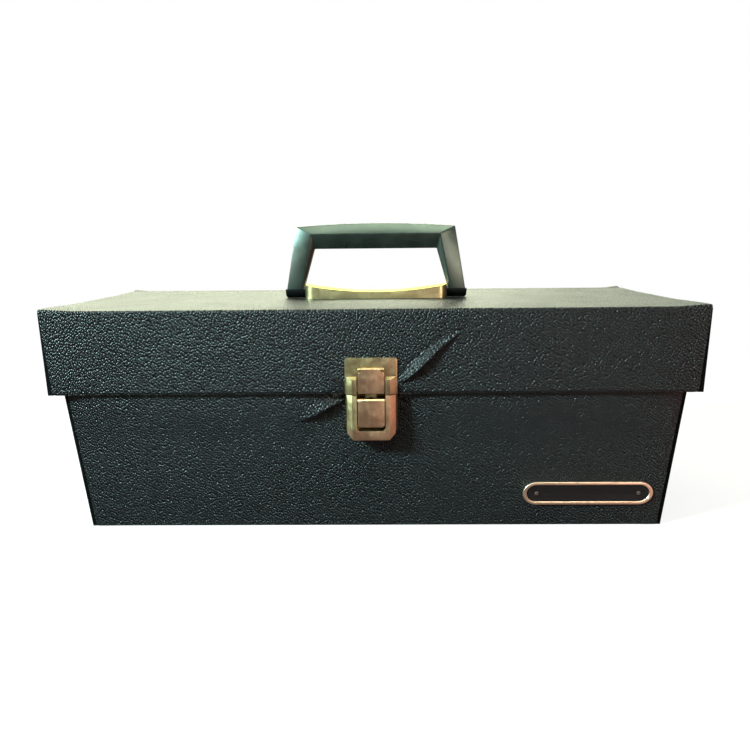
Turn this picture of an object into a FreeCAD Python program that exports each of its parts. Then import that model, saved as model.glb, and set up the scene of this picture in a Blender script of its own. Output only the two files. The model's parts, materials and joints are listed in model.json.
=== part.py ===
import FreeCAD, Part
import os
import re

# Game cartridge carrying case: a covered board box with a hinged lid, a folding handle and a front latch.
# Millimetres. The origin is the middle of the base, +Z is up and the front faces -Y.

V = FreeCAD.Vector
doc = FreeCAD.newDocument("CartridgeCase")

# Driving sizes: alias, value, meaning.
SIZES = [
    ("base_length", 393.0, "outside length of the body at the floor"),
    ("base_depth", 145.8, "outside depth of the body at the floor"),
    ("end_lean", 11.3, "lean of each end, from the base to the rim"),
    ("side_lean", 4.1, "lean of the front and of the back, from the base to the rim"),
    ("rim_height", 146.5, "height of the body's rim"),
    ("board", 2.5, "thickness of the fibreboard"),
    ("vinyl", 0.8, "thickness of the vinyl covering"),
    ("corner_strip", 3.2, "end vinyl that shows round each front and back corner"),
    ("lid_gap", 0.4, "clearance between the rim and the lid's walls"),
    ("lid_seat", 0.3, "gap above the rim when the lid is shut"),
    ("lining", 0.4, "thickness of the lid's paper lining"),
    ("flap_height", 54.8, "height of the lid from its lower edge to its top"),
    ("flap_corner", 6.0, "radius of the front flap's lower corners"),
    ("flap_head_inset", 0.5, "front flap's covering, short of the lid's end at the top"),
    ("flap_foot_inset", 4.1, "front flap's covering, short of the lid's end at the bottom"),
    ("cover_bend", 1.5, "outside radius of the covering over the lid's front edge"),
    ("hinge_leg", 12.0, "width of the vinyl hinge strip on the lid and on the back"),
    ("slot_count", 15, "number of cartridge slots"),
    ("divider_board", 1.6, "thickness of a divider"),
    ("divider_drop", 72.6, "top of the dividers below the rim"),
    ("rack_board", 2.0, "thickness of the grooved rack boards"),
    ("groove_depth", 1.2, "depth of the divider grooves in the rack boards"),
    ("groove_gap", 0.1, "clearance round a divider in its groove"),
    ("floor_lining", 0.6, "thickness of the floor lining"),
    ("latch_offset", -1.4, "middle of the latch, from the middle of the case"),
    ("line_gap", 0.3, "clearance of each latch half from the lid line"),
    ("plate_width", 33.6, "width of the latch plate on the lid"),
    ("plate_height", 23.6, "height of the latch plate on the lid"),
    ("plate_metal", 0.8, "thickness of the latch's sheet metal"),
    ("plate_corner", 2.0, "radius of the lid plate's upper corners"),
    ("rail_rise", 2.4, "height of the bevelled rails above the lid plate"),
    ("rail_foot", 31.6, "width over the feet of the two rails"),
    ("rail_crest", 24.6, "width over the crests of the two rails"),
    ("rail_inside", 18.6, "clear width between the two rails"),
    ("rail_height", 11.3, "length of the rails on the lid plate"),
    ("rail_mitre", 1.6, "slope at the top end of the rails"),
    ("housing_width", 34.0, "width of the latch housing's flange"),
    ("housing_height", 31.0, "height of the latch housing"),
    ("housing_corner", 6.3, "cut across the housing's lower corners"),
    ("housing_flange", 1.0, "thickness of the housing's flange"),
    ("housing_sill", 7.1, "front of the housing below the lever's recess"),
    ("recess_corner", 2.4, "radius of the recess's lower corners"),
    ("lever_width", 17.2, "width of the lift lever"),
    ("lever_length", 18.9, "length of the lift lever"),
    ("lever_depth", 3.0, "depth of the lever's folded sides"),
    ("lever_metal", 0.9, "thickness of the lever's sheet metal"),
    ("lever_corner", 1.8, "radius of the lever's lower corners"),
    ("lever_knuckle", 2.0, "radius of the lever's rolled top"),
    ("lever_drop", 2.3, "top of the lever below the housing's top"),
    ("lever_proud", 0.2, "lever's and hasp's face in front of the rails"),
    ("hasp_width", 16.9, "width of the hasp"),
    ("hasp_height", 14.2, "height of the hasp's plate"),
    ("hasp_rise", 0.7, "foot of the hasp's plate above the foot of the lid plate"),
    ("hasp_metal", 1.2, "thickness of the hasp's plate"),
    ("hasp_corner", 1.8, "radius of the hasp's upper corners"),
    ("hasp_knuckle", 0.95, "radius of the hasp's hinge knuckles"),
    ("hasp_ear", 2.0, "length of each fixed knuckle at the ends of the hasp's pin"),
    ("tongue_width", 6.9, "width of the hasp's tongue"),
    ("tongue_length", 3.1, "length of the hasp's tongue below its plate"),
    ("tongue_notch", 2.4, "width of the notch in the end of the tongue"),
    ("pin_radius", 0.5, "radius of the latch's two pins"),
    ("running", 0.05, "radial clearance of a turning fit"),
    ("apart", 0.3, "clearance between pieces that move past each other"),
    ("rivet_shank", 1.2, "radius of the latch rivets"),
    ("rivet_head", 2.2, "radius of the latch rivets' heads"),
    ("rivet_cap", 0.6, "thickness of the latch rivets' heads"),
    ("rivet_spread", 10.0, "distance between the two rivets of each latch half"),
    ("lid_rivet_height", 8.3, "lid plate's rivets above the foot of the plate"),
    ("housing_rivet_drop", 12.4, "housing's rivets below the top of the housing"),
    ("washer_radius", 4.0, "radius of the washers inside the body"),
    ("washer_board", 0.8, "thickness of the washers inside the body"),
    ("washer_seat", 0.3, "gap that the leaning wall leaves behind the upright washers"),
    ("badge_inset", 51.9, "middle of the nameplate, in from the end of the base"),
    ("badge_height", 25.0, "middle of the nameplate above the floor"),
    ("badge_length", 87.6, "length of the nameplate"),
    ("badge_width", 18.8, "width of the nameplate"),
    ("badge_metal", 1.4, "thickness of the nameplate at its rim"),
    ("badge_rim", 2.3, "width of the nameplate's raised rim"),
    ("badge_field", 0.6, "depth of the nameplate's field below its rim"),
    ("badge_shank", 0.9, "radius of the nameplate rivets"),
    ("badge_head", 1.5, "radius of the nameplate rivets' heads"),
    ("badge_play", 0.15, "radial play of the nameplate rivets in the wall"),
    ("handle_offset", 1.5, "middle of the handle, from the middle of the case"),
    ("bracket_length", 105.5, "length of the handle bracket"),
    ("bracket_depth", 20.0, "depth of the handle bracket, front to back"),
    ("bracket_end", 10.0, "height of the bracket at its ends"),
    ("bracket_middle", 4.9, "height of the bracket at its middle"),
    ("bracket_metal", 1.0, "thickness of the bracket's sheet metal"),
    ("bracket_corner", 6.0, "radius of the bracket's upright corners"),
    ("bracket_boss", 4.0, "radius of the bosses inside the bracket"),
    ("screw_spread", 64.0, "distance between the two bracket screws"),
    ("screw_shank", 2.0, "radius of the bracket screws"),
    ("screw_head", 4.2, "radius of the bracket screws' heads"),
    ("screw_cap", 1.6, "thickness of the bracket screws' heads"),
    ("backing_metal", 1.0, "thickness of the steel strip under the bracket"),
    ("pivot_height", 6.2, "handle's pivot above the lid"),
    ("pivot_pin", 2.0, "radius of the handle's pins"),
    ("pivot_grip", 9.0, "length of a handle pin inside the handle's foot"),
    ("foot_radius", 5.9, "radius of the handle's round feet"),
    ("foot_length", 14.0, "length of the handle's feet along the pivot"),
    ("foot_round", 1.6, "cut at the outer end of the feet"),
    ("handle_height", 52.0, "top of the handle's outer corners above the lid"),
    ("handle_arch", 2.3, "rise of the grip's top at its middle"),
    ("arch_steps", 6, "straight stretches that follow the arch of the grip"),
    ("outer_past", 13.8, "handle's outer edge past the bracket's end, at the pivot"),
    ("ridge_past", 3.0, "leg's ridge past the bracket's end, at the pivot"),
    ("inner_past", 1.85, "leg's inner edge past the bracket's end, at the pivot"),
    ("outer_lean", 8.25, "lean of the legs' outer edge, from the pivot to the top corner"),
    ("ridge_lean", 8.6, "lean of the legs' ridge, from the pivot to the ridge corner"),
    ("inner_lean", 9.15, "lean of the legs' inner edge, from the pivot to the grip"),
    ("grip_thick", 15.9, "height of the grip at its corners"),
    ("grip_ridge", 5.4, "grip's front ridge below the top corners"),
    ("ridge_depth", 13.0, "depth of the handle over its ridges"),
    ("ridge_depth_foot", 11.6, "depth of the handle over its ridges, at the pivot"),
    ("edge_depth_foot", 10.6, "depth of the handle at its outer and inner edges, at the pivot"),
    ("edge_depth", 6.4, "depth of the handle at its outer edge"),
    ("inner_depth", 7.6, "depth of the handle at its inner edge"),
    ("stud_sides", 12, "sides of the shanks and bores that hide in the walls"),
]
ALIASES = {alias for alias, number, meaning in SIZES}

sheet = doc.addObject("Spreadsheet::Sheet", "Sizes")
for row, (alias, number, meaning) in enumerate(SIZES, start=1):
    sheet.set(f"A{row}", meaning)
    sheet.set(f"B{row}", str(number))
    sheet.setAlias(f"B{row}", alias)
doc.recompute()

nodes = []

# How near a plane an edge counts as on it.
NEAR = 0.1


def sized(text):
    """Expression with every alias of the sheet written in full."""
    return re.sub(r"[a-z_]+", lambda m: f"Sizes.{m.group()}" if m.group() in ALIASES else m.group(), text)


def value(text):
    """Number that an expression of sheet aliases gives now."""
    return float(sheet.evalExpression(re.sub(r"Sizes\.", "", sized(text))))


def bind(piece, **formulas):
    """Ties properties to the sheet. A double underscore stands for a dot."""
    for name, formula in formulas.items():
        piece.setExpression(name.replace("__", "."), sized(formula))
    return piece


def node(label, piece):
    """Marks a finished piece as a sub-part with this name."""
    piece.Label = label
    nodes.append(piece)
    return piece


def box(name, x, y, z):
    """Block between the two formulas of each axis."""
    block = doc.addObject("Part::Box", name)
    bind(block, Length=f"{x[1]} - ({x[0]})", Width=f"{y[1]} - ({y[0]})", Height=f"{z[1]} - ({z[0]})")
    return bind(block, Placement__Base__x=x[0], Placement__Base__y=y[0], Placement__Base__z=z[0])


def tapered(name, foot, head, z):
    """Block whose level foot and head are (x low, x high, y low, y high) at the two heights in z."""
    block = doc.addObject("Part::Wedge", name)
    block.Placement = FreeCAD.Placement(V(0, 0, 0), FreeCAD.Rotation(V(1, 0, 0), 90))
    bind(block, Xmin=foot[0], Xmax=foot[1], Zmin=f"-({foot[3]})", Zmax=f"-({foot[2]})")
    bind(block, X2min=head[0], X2max=head[1], Z2min=f"-({head[3]})", Z2max=f"-({head[2]})")
    return bind(block, Ymin="0", Ymax=f"{z[1]} - ({z[0]})", Placement__Base__z=z[0])


TURNS = {"x": FreeCAD.Rotation(V(0, 1, 0), 90), "y": FreeCAD.Rotation(V(1, 0, 0), -90), "z": FreeCAD.Rotation()}


def rod(name, axis, radius, start, length):
    """Cylinder along an axis from a start point of three formulas."""
    bar = doc.addObject("Part::Cylinder", name)
    bar.Placement = FreeCAD.Placement(V(0, 0, 0), TURNS[axis])
    bind(bar, Radius=radius, Height=length)
    return bind(bar, Placement__Base__x=start[0], Placement__Base__y=start[1], Placement__Base__z=start[2])


def stud(name, axis, radius, start, length):
    """Shank or bore that hides in a wall: a prism laid like a rod."""
    bar = doc.addObject("Part::Prism", name)
    bar.Polygon = int(value("stud_sides"))
    bar.Placement = FreeCAD.Placement(V(0, 0, 0), TURNS[axis])
    bind(bar, Circumradius=radius, Height=length)
    return bind(bar, Placement__Base__x=start[0], Placement__Base__y=start[1], Placement__Base__z=start[2])


def fused(name, pieces):
    """One solid from several that overlap or touch."""
    union = doc.addObject("Part::MultiFuse", name)
    union.Shapes = pieces
    union.Refine = True
    return union


def grouped(name, pieces):
    """Like pieces kept as separate solids of one object."""
    group = doc.addObject("Part::Compound", name)
    group.Links = pieces
    return group


def without(name, base, tools):
    """Piece with other pieces taken away."""
    rest = doc.addObject("Part::Cut", name)
    rest.Base = base
    rest.Tool = tools[0] if len(tools) == 1 else fused(f"{name}_tools", tools)
    rest.Refine = True
    return rest


def rounded(name, base, radius, chosen):
    """Fillet of the edges that the test picks by their middle and direction."""
    doc.recompute()
    picked = []
    for number, edge in enumerate(base.Shape.Edges, start=1):
        middle = edge.valueAt((edge.FirstParameter + edge.LastParameter) / 2)
        along = edge.tangentAt((edge.FirstParameter + edge.LastParameter) / 2)
        if chosen(middle, along):
            picked.append((number, value(radius), value(radius)))
    fillet = doc.addObject("Part::Fillet", name)
    fillet.Base = base
    fillet.Edges = picked
    return fillet


# Heights and faces that several pieces share.
RIM_LENGTH = "(base_length + 2 * end_lean)"
RIM_DEPTH = "(base_depth + 2 * side_lean)"
LID_UNDER = "(rim_height + lid_seat)"
BOARD_UNDER = f"({LID_UNDER} + lining)"
BOARD_TOP = f"({BOARD_UNDER} + board)"
LID_TOP = f"({BOARD_TOP} + vinyl)"
LID_LINE = f"({LID_TOP} - flap_height)"
LID_HALF = f"({RIM_LENGTH} / 2 + lid_gap + board + vinyl)"
LID_FRONT = f"({RIM_DEPTH} / 2 + lid_gap + board + vinyl)"
BACK = f"({RIM_DEPTH} / 2)"
WALL = "(vinyl + board)"


def half_length(height, inset):
    """Half length of the leaning body at a height, less an inset."""
    return f"(base_length / 2 + end_lean * ({height}) / rim_height - ({inset}))"


def half_depth(height, inset):
    """Half depth of the leaning body at a height, less an inset."""
    return f"(base_depth / 2 + side_lean * ({height}) / rim_height - ({inset}))"


def body_slab(name, x, y, z):
    """Tapered block: x and y are functions of height that give the low and high faces."""
    foot = x(z[0]) + y(z[0])
    head = x(z[1]) + y(z[1])
    return tapered(name, foot, head, z)


def across(inset):
    """Full length of the body, less an inset at each end."""
    return lambda height: (f"-{half_length(height, inset)}", half_length(height, inset))


def through(inset):
    """Full depth of the body, less an inset at front and back."""
    return lambda height: (f"-{half_depth(height, inset)}", half_depth(height, inset))


def side(measure, sign, outer, inner):
    """Layer between two insets, on the high side for +1 and on the low side for -1."""
    if sign > 0:
        return lambda height: (measure(height, inner), measure(height, outer))
    return lambda height: (f"-{measure(height, outer)}", f"-{measure(height, inner)}")


# Latch: faces and axes that its pieces share.
LATCH_X = "latch_offset"
PLATE_FOOT = f"({LID_LINE} + line_gap)"
HOUSING_TOP = f"({LID_LINE} - line_gap)"
PLATE_FACE = f"({LID_FRONT} + plate_metal)"
RAIL_FACE = f"({PLATE_FACE} + rail_rise)"
LATCH_FACE = f"({RAIL_FACE} + lever_proud)"
HASP_FOOT = f"({PLATE_FOOT} + hasp_rise)"
HASP_AXIS_Y = f"-({PLATE_FACE} + hasp_knuckle + apart)"
HASP_AXIS_Z = f"({HASP_FOOT} + hasp_height + hasp_knuckle + apart)"
LEVER_TOP = f"({HOUSING_TOP} - lever_drop)"
LEVER_AXIS_Y = f"-({LATCH_FACE} - lever_knuckle)"
LEVER_AXIS_Z = f"({LEVER_TOP} - lever_knuckle)"

# Rivets through the two latch halves and the nameplate, and screws through the lid's top.
RIVET_Z = {"lid": f"({PLATE_FOOT} + lid_rivet_height)", "body": f"({HOUSING_TOP} - housing_rivet_drop)"}
RIVET_X = [f"(latch_offset + {sign} * rivet_spread / 2)" for sign in (-1, 1)]
BADGE_MIDDLE = "(base_length / 2 - badge_inset)"
BADGE_X = [f"({BADGE_MIDDLE} + {sign} * (badge_length - badge_width) / 2)" for sign in (-1, 1)]
SCREW_X = [f"(handle_offset + {sign} * screw_spread / 2)" for sign in (-1, 1)]


def front_holes(name, radius, places, height):
    """Bores through the front wall, one at each place along the case."""
    start = f"-{LATCH_FACE}"
    return [stud(f"{name}_{k}", "y", radius, (x, start, height), "base_depth / 4") for k, x in enumerate(places)]


def top_holes(name, radius):
    """Bores through the lid's top, one at each bracket screw."""
    foot = "rim_height / 2"
    return [stud(f"{name}_{k}", "z", radius, (x, "0", foot), "rim_height") for k, x in enumerate(SCREW_X)]


def body_bores(name):
    """Bores for the housing's rivets and the nameplate's rivets."""
    return (front_holes(f"{name}_latch", "rivet_shank", RIVET_X, RIVET_Z["body"])
            + front_holes(f"{name}_badge", "badge_shank + badge_play", BADGE_X, "badge_height"))


def body_boards():
    """Five fibreboards of the body."""
    height = ("vinyl", "rim_height")
    inner = across(WALL)
    node("bottom_board", body_slab("BottomBoard", inner, through(WALL), ("vinyl", WALL)))
    front = body_slab("FrontBlank", across("vinyl"), side(half_depth, -1, "vinyl", WALL), height)
    node("front_board", without("FrontBoard", front, body_bores("FrontBoard")))
    node("back_board", body_slab("BackBoard", across("vinyl"), side(half_depth, 1, "vinyl", WALL), height))
    for name, sign in (("left", -1), ("right", 1)):
        ends = side(half_length, sign, "vinyl", WALL)
        node(f"{name}_end_board", body_slab(f"{name.title()}EndBoard", ends, through(WALL), height))


def body_covers():
    """Vinyl on the base, front, back and ends, with the ends turned round the corners."""
    height = ("vinyl", "rim_height")
    hinge_foot = "rim_height - hinge_leg"
    node("base_cover", body_slab("BaseCover", across("0"), through("0"), ("0", "vinyl")))
    front = body_slab("FrontSheet", across("corner_strip"), side(half_depth, -1, "0", "vinyl"), height)
    node("front_cover", without("FrontCover", front, body_bores("FrontCover")))
    back = side(half_depth, 1, "0", "vinyl")
    node("back_cover", body_slab("BackCover", across("corner_strip"), back, ("vinyl", hinge_foot)))
    for name, sign in (("left", -1), ("right", 1)):
        sheets = [body_slab(f"{name}EndSheet", side(half_length, sign, "0", "vinyl"), through("0"), height)]
        for turn in (-1, 1):
            strip = side(half_length, sign, "0", "corner_strip")
            wrap = side(half_depth, turn, "0", "vinyl")
            sheets.append(body_slab(f"{name}Turn{turn + 1}", strip, wrap, height))
        node(f"{name}_end_cover", fused(f"{name.title()}EndCover", sheets))


def racks():
    """Floor lining, two grooved rack boards and the dividers that stand in them."""
    top_of_lining = f"{WALL} + floor_lining"
    top = "rim_height - divider_drop"
    node("floor_lining", body_slab("FloorLining", across(WALL), through(WALL), (WALL, top_of_lining)))
    rack_inner = f"{WALL} + rack_board"
    groove = f"{rack_inner} - groove_depth"
    inside = "(base_length - 2 * (vinyl + board))"
    count = int(value("slot_count"))
    places = [f"({k} / slot_count - 0.5) * {inside}" for k in range(1, count)]
    height = (top_of_lining, top)
    for name, sign in (("front", -1), ("back", 1)):
        blank = body_slab(f"{name}RackBlank", across(WALL), side(half_depth, sign, WALL, rack_inner), height)
        grooves = []
        for k, x in enumerate(places):
            span = (f"{x} - divider_board / 2 - groove_gap", f"{x} + divider_board / 2 + groove_gap")
            cutter = side(half_depth, sign, groove, f"{rack_inner} + board")
            grooves.append(body_slab(f"{name}Groove{k}", lambda z, span=span: span, cutter, height))
        node(f"{name}_rack", without(f"{name.title()}Rack", blank, grooves))
    for k, x in enumerate(places, start=1):
        span = (f"{x} - divider_board / 2", f"{x} + divider_board / 2")
        ends = through(f"{groove} + groove_gap")
        node(f"divider_{k:02d}", body_slab(f"Divider{k}", lambda z, span=span: span, ends, height))


def lid_boards():
    """Top board, front flap board and two end flap boards of the lid, and the lining under the top."""
    half = f"({LID_HALF} - vinyl)"
    front = f"({LID_FRONT} - vinyl)"
    back = f"({BACK} - vinyl)"
    low_to_board = (LID_LINE, BOARD_UNDER)
    top = box("LidTopBlank", (f"-{half}", half), (f"-{front}", back), (BOARD_UNDER, BOARD_TOP))
    node("lid_top_board", without("LidTopBoard", top, top_holes("TopBore", "screw_shank")))
    flap = box("LidFlapBlank", (f"-{half}", half), (f"-{front}", f"-{front} + board"), low_to_board)
    flap_bores = front_holes("FlapBore", "rivet_shank", RIVET_X, RIVET_Z["lid"])
    node("lid_front_board", without("LidFrontBoard", flap, flap_bores))
    for name, low, high in (("left", f"-{half}", f"-{half} + board"), ("right", f"{half} - board", half)):
        end = box(f"Lid{name.title()}Board", (low, high), (f"-{front} + board", back), low_to_board)
        node(f"lid_{name}_board", end)
    inner = f"({half} - board)"
    paper = box("LiningBlank", (f"-{inner}", inner), (f"-{front} + board", back), (LID_UNDER, BOARD_UNDER))
    node("lid_lining", without("LidLining", paper, top_holes("LiningBore", "screw_shank")))


def lid_covers():
    """Vinyl over the lid's top and front flap, and over each end flap."""
    head = f"({LID_HALF} - flap_head_inset)"
    foot = f"({LID_HALF} - flap_foot_inset)"
    layer = (f"-{LID_FRONT}", f"-{LID_FRONT} + vinyl")
    flap = tapered("FlapSheet", (f"-{foot}", foot) + layer, (f"-{head}", head) + layer, (LID_LINE, LID_TOP))
    low = value(LID_LINE)
    reach = value("flap_foot_inset + flap_corner")
    end = value(LID_HALF)
    corner = rounded("FlapCorners", flap, "flap_corner",
                     lambda at, along: round(abs(along.y)) == 1 and at.z < low + NEAR and abs(at.x) > end - reach)
    back = f"({BACK} - hinge_leg)"
    top = box("TopSheet", (f"-{LID_HALF}", LID_HALF), (f"-{LID_FRONT}", back), (BOARD_TOP, LID_TOP))
    bent = fused("LidSheet", [corner, top])
    front = value(LID_FRONT)
    high = value(LID_TOP)
    bend = rounded("LidBend", bent, "cover_bend",
                   lambda at, along: round(abs(along.x)) == 1 and at.y < NEAR - front and at.z > high - NEAR)
    bores = front_holes("CoverBore", "rivet_shank", RIVET_X, RIVET_Z["lid"])
    bores += top_holes("CoverTop", "screw_shank")
    node("lid_cover", without("LidCover", bend, bores))
    for name, sign in (("left", -1), ("right", 1)):
        outer = f"{sign} * {LID_HALF}"
        inner = f"{sign} * ({LID_HALF} - vinyl)"
        ends = (inner, outer) if sign > 0 else (outer, inner)
        height = (LID_LINE, BOARD_TOP)
        sheets = [box(f"Lid{name}Sheet", ends, (f"-{LID_FRONT} + vinyl", BACK), height)]
        foot_edge = f"{sign} * ({foot} + lid_gap / 2)"
        head_edge = f"{sign} * ({head} + lid_gap / 2)"
        low_turn = (foot_edge, outer) if sign > 0 else (outer, foot_edge)
        high_turn = (head_edge, outer) if sign > 0 else (outer, head_edge)
        sheets.append(tapered(f"Lid{name}Front", low_turn + layer, high_turn + layer, height))
        strip_edge = f"{sign} * ({LID_HALF} - board - vinyl)"
        strip = (strip_edge, outer) if sign > 0 else (outer, strip_edge)
        sheets.append(box(f"Lid{name}Back", strip, (f"{BACK} - vinyl", BACK), height))
        node(f"lid_{name}_cover", fused(f"Lid{name.title()}Cover", sheets))


def hinge_strip():
    """Vinyl strip round the back top edge that is the lid's hinge."""
    half = f"({LID_HALF} - board - vinyl - lid_gap)"
    span = (f"-{half}", half)
    edge = (f"{BACK} - vinyl", BACK)
    foot = "rim_height - hinge_leg"
    low = body_slab("HingeLow", across("corner_strip"), side(half_depth, 1, "0", "vinyl"), (foot, "rim_height"))
    turn = box("HingeTurn", span, edge, ("rim_height", LID_TOP))
    top_span = (f"-{LID_HALF}", LID_HALF)
    top = box("HingeTop", top_span, (f"{BACK} - hinge_leg", BACK), (BOARD_TOP, LID_TOP))
    node("hinge_strip", fused("HingeStrip", [low, turn, top]))


def latch_span(width):
    """Low and high face of a piece of this width, centred on the latch."""
    return (f"{LATCH_X} - {width} / 2", f"{LATCH_X} + {width} / 2")


def rail(name, sign, foot_y, foot_z):
    """Bevelled rail on the lid plate, upright on its inner side and sloped outside and at its top."""
    edges = ("rail_inside / 2", "rail_foot / 2", "rail_crest / 2")
    inner, outer, crown = edges if sign < 0 else [f"-({edge})" for edge in edges]
    foot = (inner, outer) if sign < 0 else (outer, inner)
    crest = (inner, crown) if sign < 0 else (crown, inner)
    bar = doc.addObject("Part::Wedge", name)
    bar.Placement = FreeCAD.Placement(V(0, 0, 0), FreeCAD.Rotation(V(0, 0, 1), 180))
    bind(bar, Xmin=foot[0], Xmax=foot[1], X2min=crest[0], X2max=crest[1], Zmin="0", Z2min="0")
    bind(bar, Zmax="rail_height", Z2max="rail_height - rail_mitre", Ymin="0", Ymax="rail_rise")
    return bind(bar, Placement__Base__x=LATCH_X, Placement__Base__y=foot_y, Placement__Base__z=foot_z)


def lid_plate():
    """Stamped plate on the lid with two bevelled rails and the fixed knuckles of the hasp's hinge."""
    top = f"({PLATE_FOOT} + plate_height)"
    layer = (f"-{PLATE_FACE}", f"-{LID_FRONT}")
    blank = box("PlateBlank", latch_span("plate_width"), layer, (PLATE_FOOT, top))
    high = value(top)
    plate = rounded("PlateCorners", blank, "plate_corner",
                    lambda at, along: round(abs(along.y)) == 1 and at.z > high - NEAR)
    pieces = [plate]
    for sign in (-1, 1):
        pieces.append(rail(f"Rail{sign + 1}", sign, layer[0], PLATE_FOOT))
        start = LATCH_X + (" - hasp_width / 2" if sign < 0 else " + hasp_width / 2 - hasp_ear")
        pieces.append(rod(f"Ear{sign + 1}", "x", "hasp_knuckle", (start, HASP_AXIS_Y, HASP_AXIS_Z), "hasp_ear"))
        web_z = (f"{HASP_AXIS_Z} - hasp_knuckle", f"{HASP_AXIS_Z} + hasp_knuckle")
        pieces.append(box(f"EarWeb{sign + 1}", (start, f"{start} + hasp_ear"), (HASP_AXIS_Y, layer[0]), web_z))
    bore_start = (f"{LATCH_X} - hasp_width", HASP_AXIS_Y, HASP_AXIS_Z)
    bores = [rod("EarBore", "x", "pin_radius", bore_start, "2 * hasp_width")]
    bores += front_holes("PlateBore", "rivet_shank", RIVET_X, RIVET_Z["lid"])
    bores.append(box("TongueGap", latch_span("rail_inside"), layer, (PLATE_FOOT, f"{HASP_FOOT} + plate_metal")))
    node("latch_lid_plate", without("LatchLidPlate", fused("PlateForm", pieces), bores))


def hasp():
    """Hinged hasp with its rolled knuckle and notched tongue."""
    foot = HASP_FOOT
    top = f"({foot} + hasp_height)"
    layer = (f"-{LATCH_FACE}", f"-{LATCH_FACE} + hasp_metal")
    blank = box("HaspBlank", latch_span("hasp_width"), layer, (foot, top))
    high = value(top)
    plate = rounded("HaspCorners", blank, "hasp_corner",
                    lambda at, along: round(abs(along.y)) == 1 and at.z > high - NEAR)
    middle = "hasp_width - 2 * hasp_ear - 2 * apart"
    start = f"{LATCH_X} - ({middle}) / 2"
    knuckle = rod("HaspKnuckle", "x", "hasp_knuckle", (start, HASP_AXIS_Y, HASP_AXIS_Z), middle)
    web_y = (layer[0], HASP_AXIS_Y)
    web = box("HaspWeb", latch_span(f"({middle})"), web_y, (f"{top} - hasp_knuckle", f"{HASP_AXIS_Z}"))
    tongue_y = (f"-{LATCH_FACE} + hasp_metal / 2", f"-{LATCH_FACE} + hasp_metal")
    tongue_z = (f"{foot} - tongue_length", f"{foot} + plate_metal")
    tongue = box("Tongue", latch_span("tongue_width"), tongue_y, tongue_z)
    notch_z = (f"{foot} - tongue_length", f"{foot} - tongue_length + plate_metal")
    notch = box("TongueNotch", latch_span("tongue_notch"), (f"-{LATCH_FACE}", HASP_AXIS_Y), notch_z)
    form = fused("HaspForm", [plate, knuckle, web, tongue])
    end = (f"{LATCH_X} - hasp_width / 2", HASP_AXIS_Y, HASP_AXIS_Z)
    bore = rod("HaspBore", "x", "pin_radius + running", end, "hasp_width")
    node("hasp", without("Hasp", form, [notch, bore]))
    node("hasp_pin", rod("HaspPin", "x", "pin_radius", end, "hasp_width"))


def housing():
    """Bevelled housing on the body, with the recess for the lever and the flange on the vinyl."""
    foot = f"({HOUSING_TOP} - housing_height)"
    height = (foot, HOUSING_TOP)
    behind = f"-({BACK} - {WALL})"
    skin = f"-{half_depth(HOUSING_TOP, '0')}"
    flange = box("Flange", latch_span("housing_width"), (f"{skin} - housing_flange", behind), height)
    walls = box("HousingWalls", latch_span("rail_foot"), (f"-{PLATE_FACE}", behind), height)
    dome = doc.addObject("Part::Wedge", "Dome")
    dome.Placement = FreeCAD.Placement(V(0, 0, 0), FreeCAD.Rotation(V(0, 0, 1), 180))
    bind(dome, Xmin="-rail_foot / 2", Xmax="rail_foot / 2", X2min="-rail_crest / 2", X2max="rail_crest / 2")
    bind(dome, Zmin="0", Zmax="housing_height", Z2min="housing_flange", Z2max="housing_height")
    bind(dome, Ymin="0", Ymax="rail_rise")
    bind(dome, Placement__Base__x=LATCH_X, Placement__Base__y=f"-{PLATE_FACE}", Placement__Base__z=foot)
    form = fused("HousingForm", [flange, walls, dome])
    recess_foot = f"({foot} + housing_sill)"
    floor_y = f"{skin} - plate_metal"
    recess_blank = box("RecessBlank", latch_span("rail_inside"), (f"-{LATCH_FACE}", floor_y),
                       (recess_foot, f"{HOUSING_TOP} + board"))
    sill = value(recess_foot)
    recess = rounded("Recess", recess_blank, "recess_corner",
                     lambda at, along: round(abs(along.y)) == 1 and at.z < sill + NEAR)
    lean = body_slab("BodySkin", across("0"), through("0"), ("0", "rim_height"))
    corners = []
    for sign in (-1, 1):
        block = box(f"CornerCut{sign + 1}", ("0", "housing_corner * sqrt(2)"), (f"-{LATCH_FACE}", "0"),
                    ("0", "housing_corner * sqrt(2)"))
        block.Placement = FreeCAD.Placement(V(0, 0, 0), FreeCAD.Rotation(V(0, 1, 0), 45))
        bind(block, Placement__Base__x=f"{LATCH_X} + {sign} * housing_width / 2 - housing_corner")
        bind(block, Placement__Base__y=f"-{LATCH_FACE}", Placement__Base__z=foot)
        corners.append(block)
    pin_start = (f"{LATCH_X} - rail_crest / 2 + plate_metal", LEVER_AXIS_Y, LEVER_AXIS_Z)
    pin_length = "rail_crest - 2 * plate_metal"
    bore = rod("LeverBore", "x", "pin_radius", pin_start, pin_length)
    bores = front_holes("HousingBore", "rivet_shank", RIVET_X, RIVET_Z["body"])
    node("latch_housing", without("LatchHousing", form, [recess, lean, bore] + corners + bores))
    node("lever_pin", rod("LeverPin", "x", "pin_radius", pin_start, pin_length))


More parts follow.
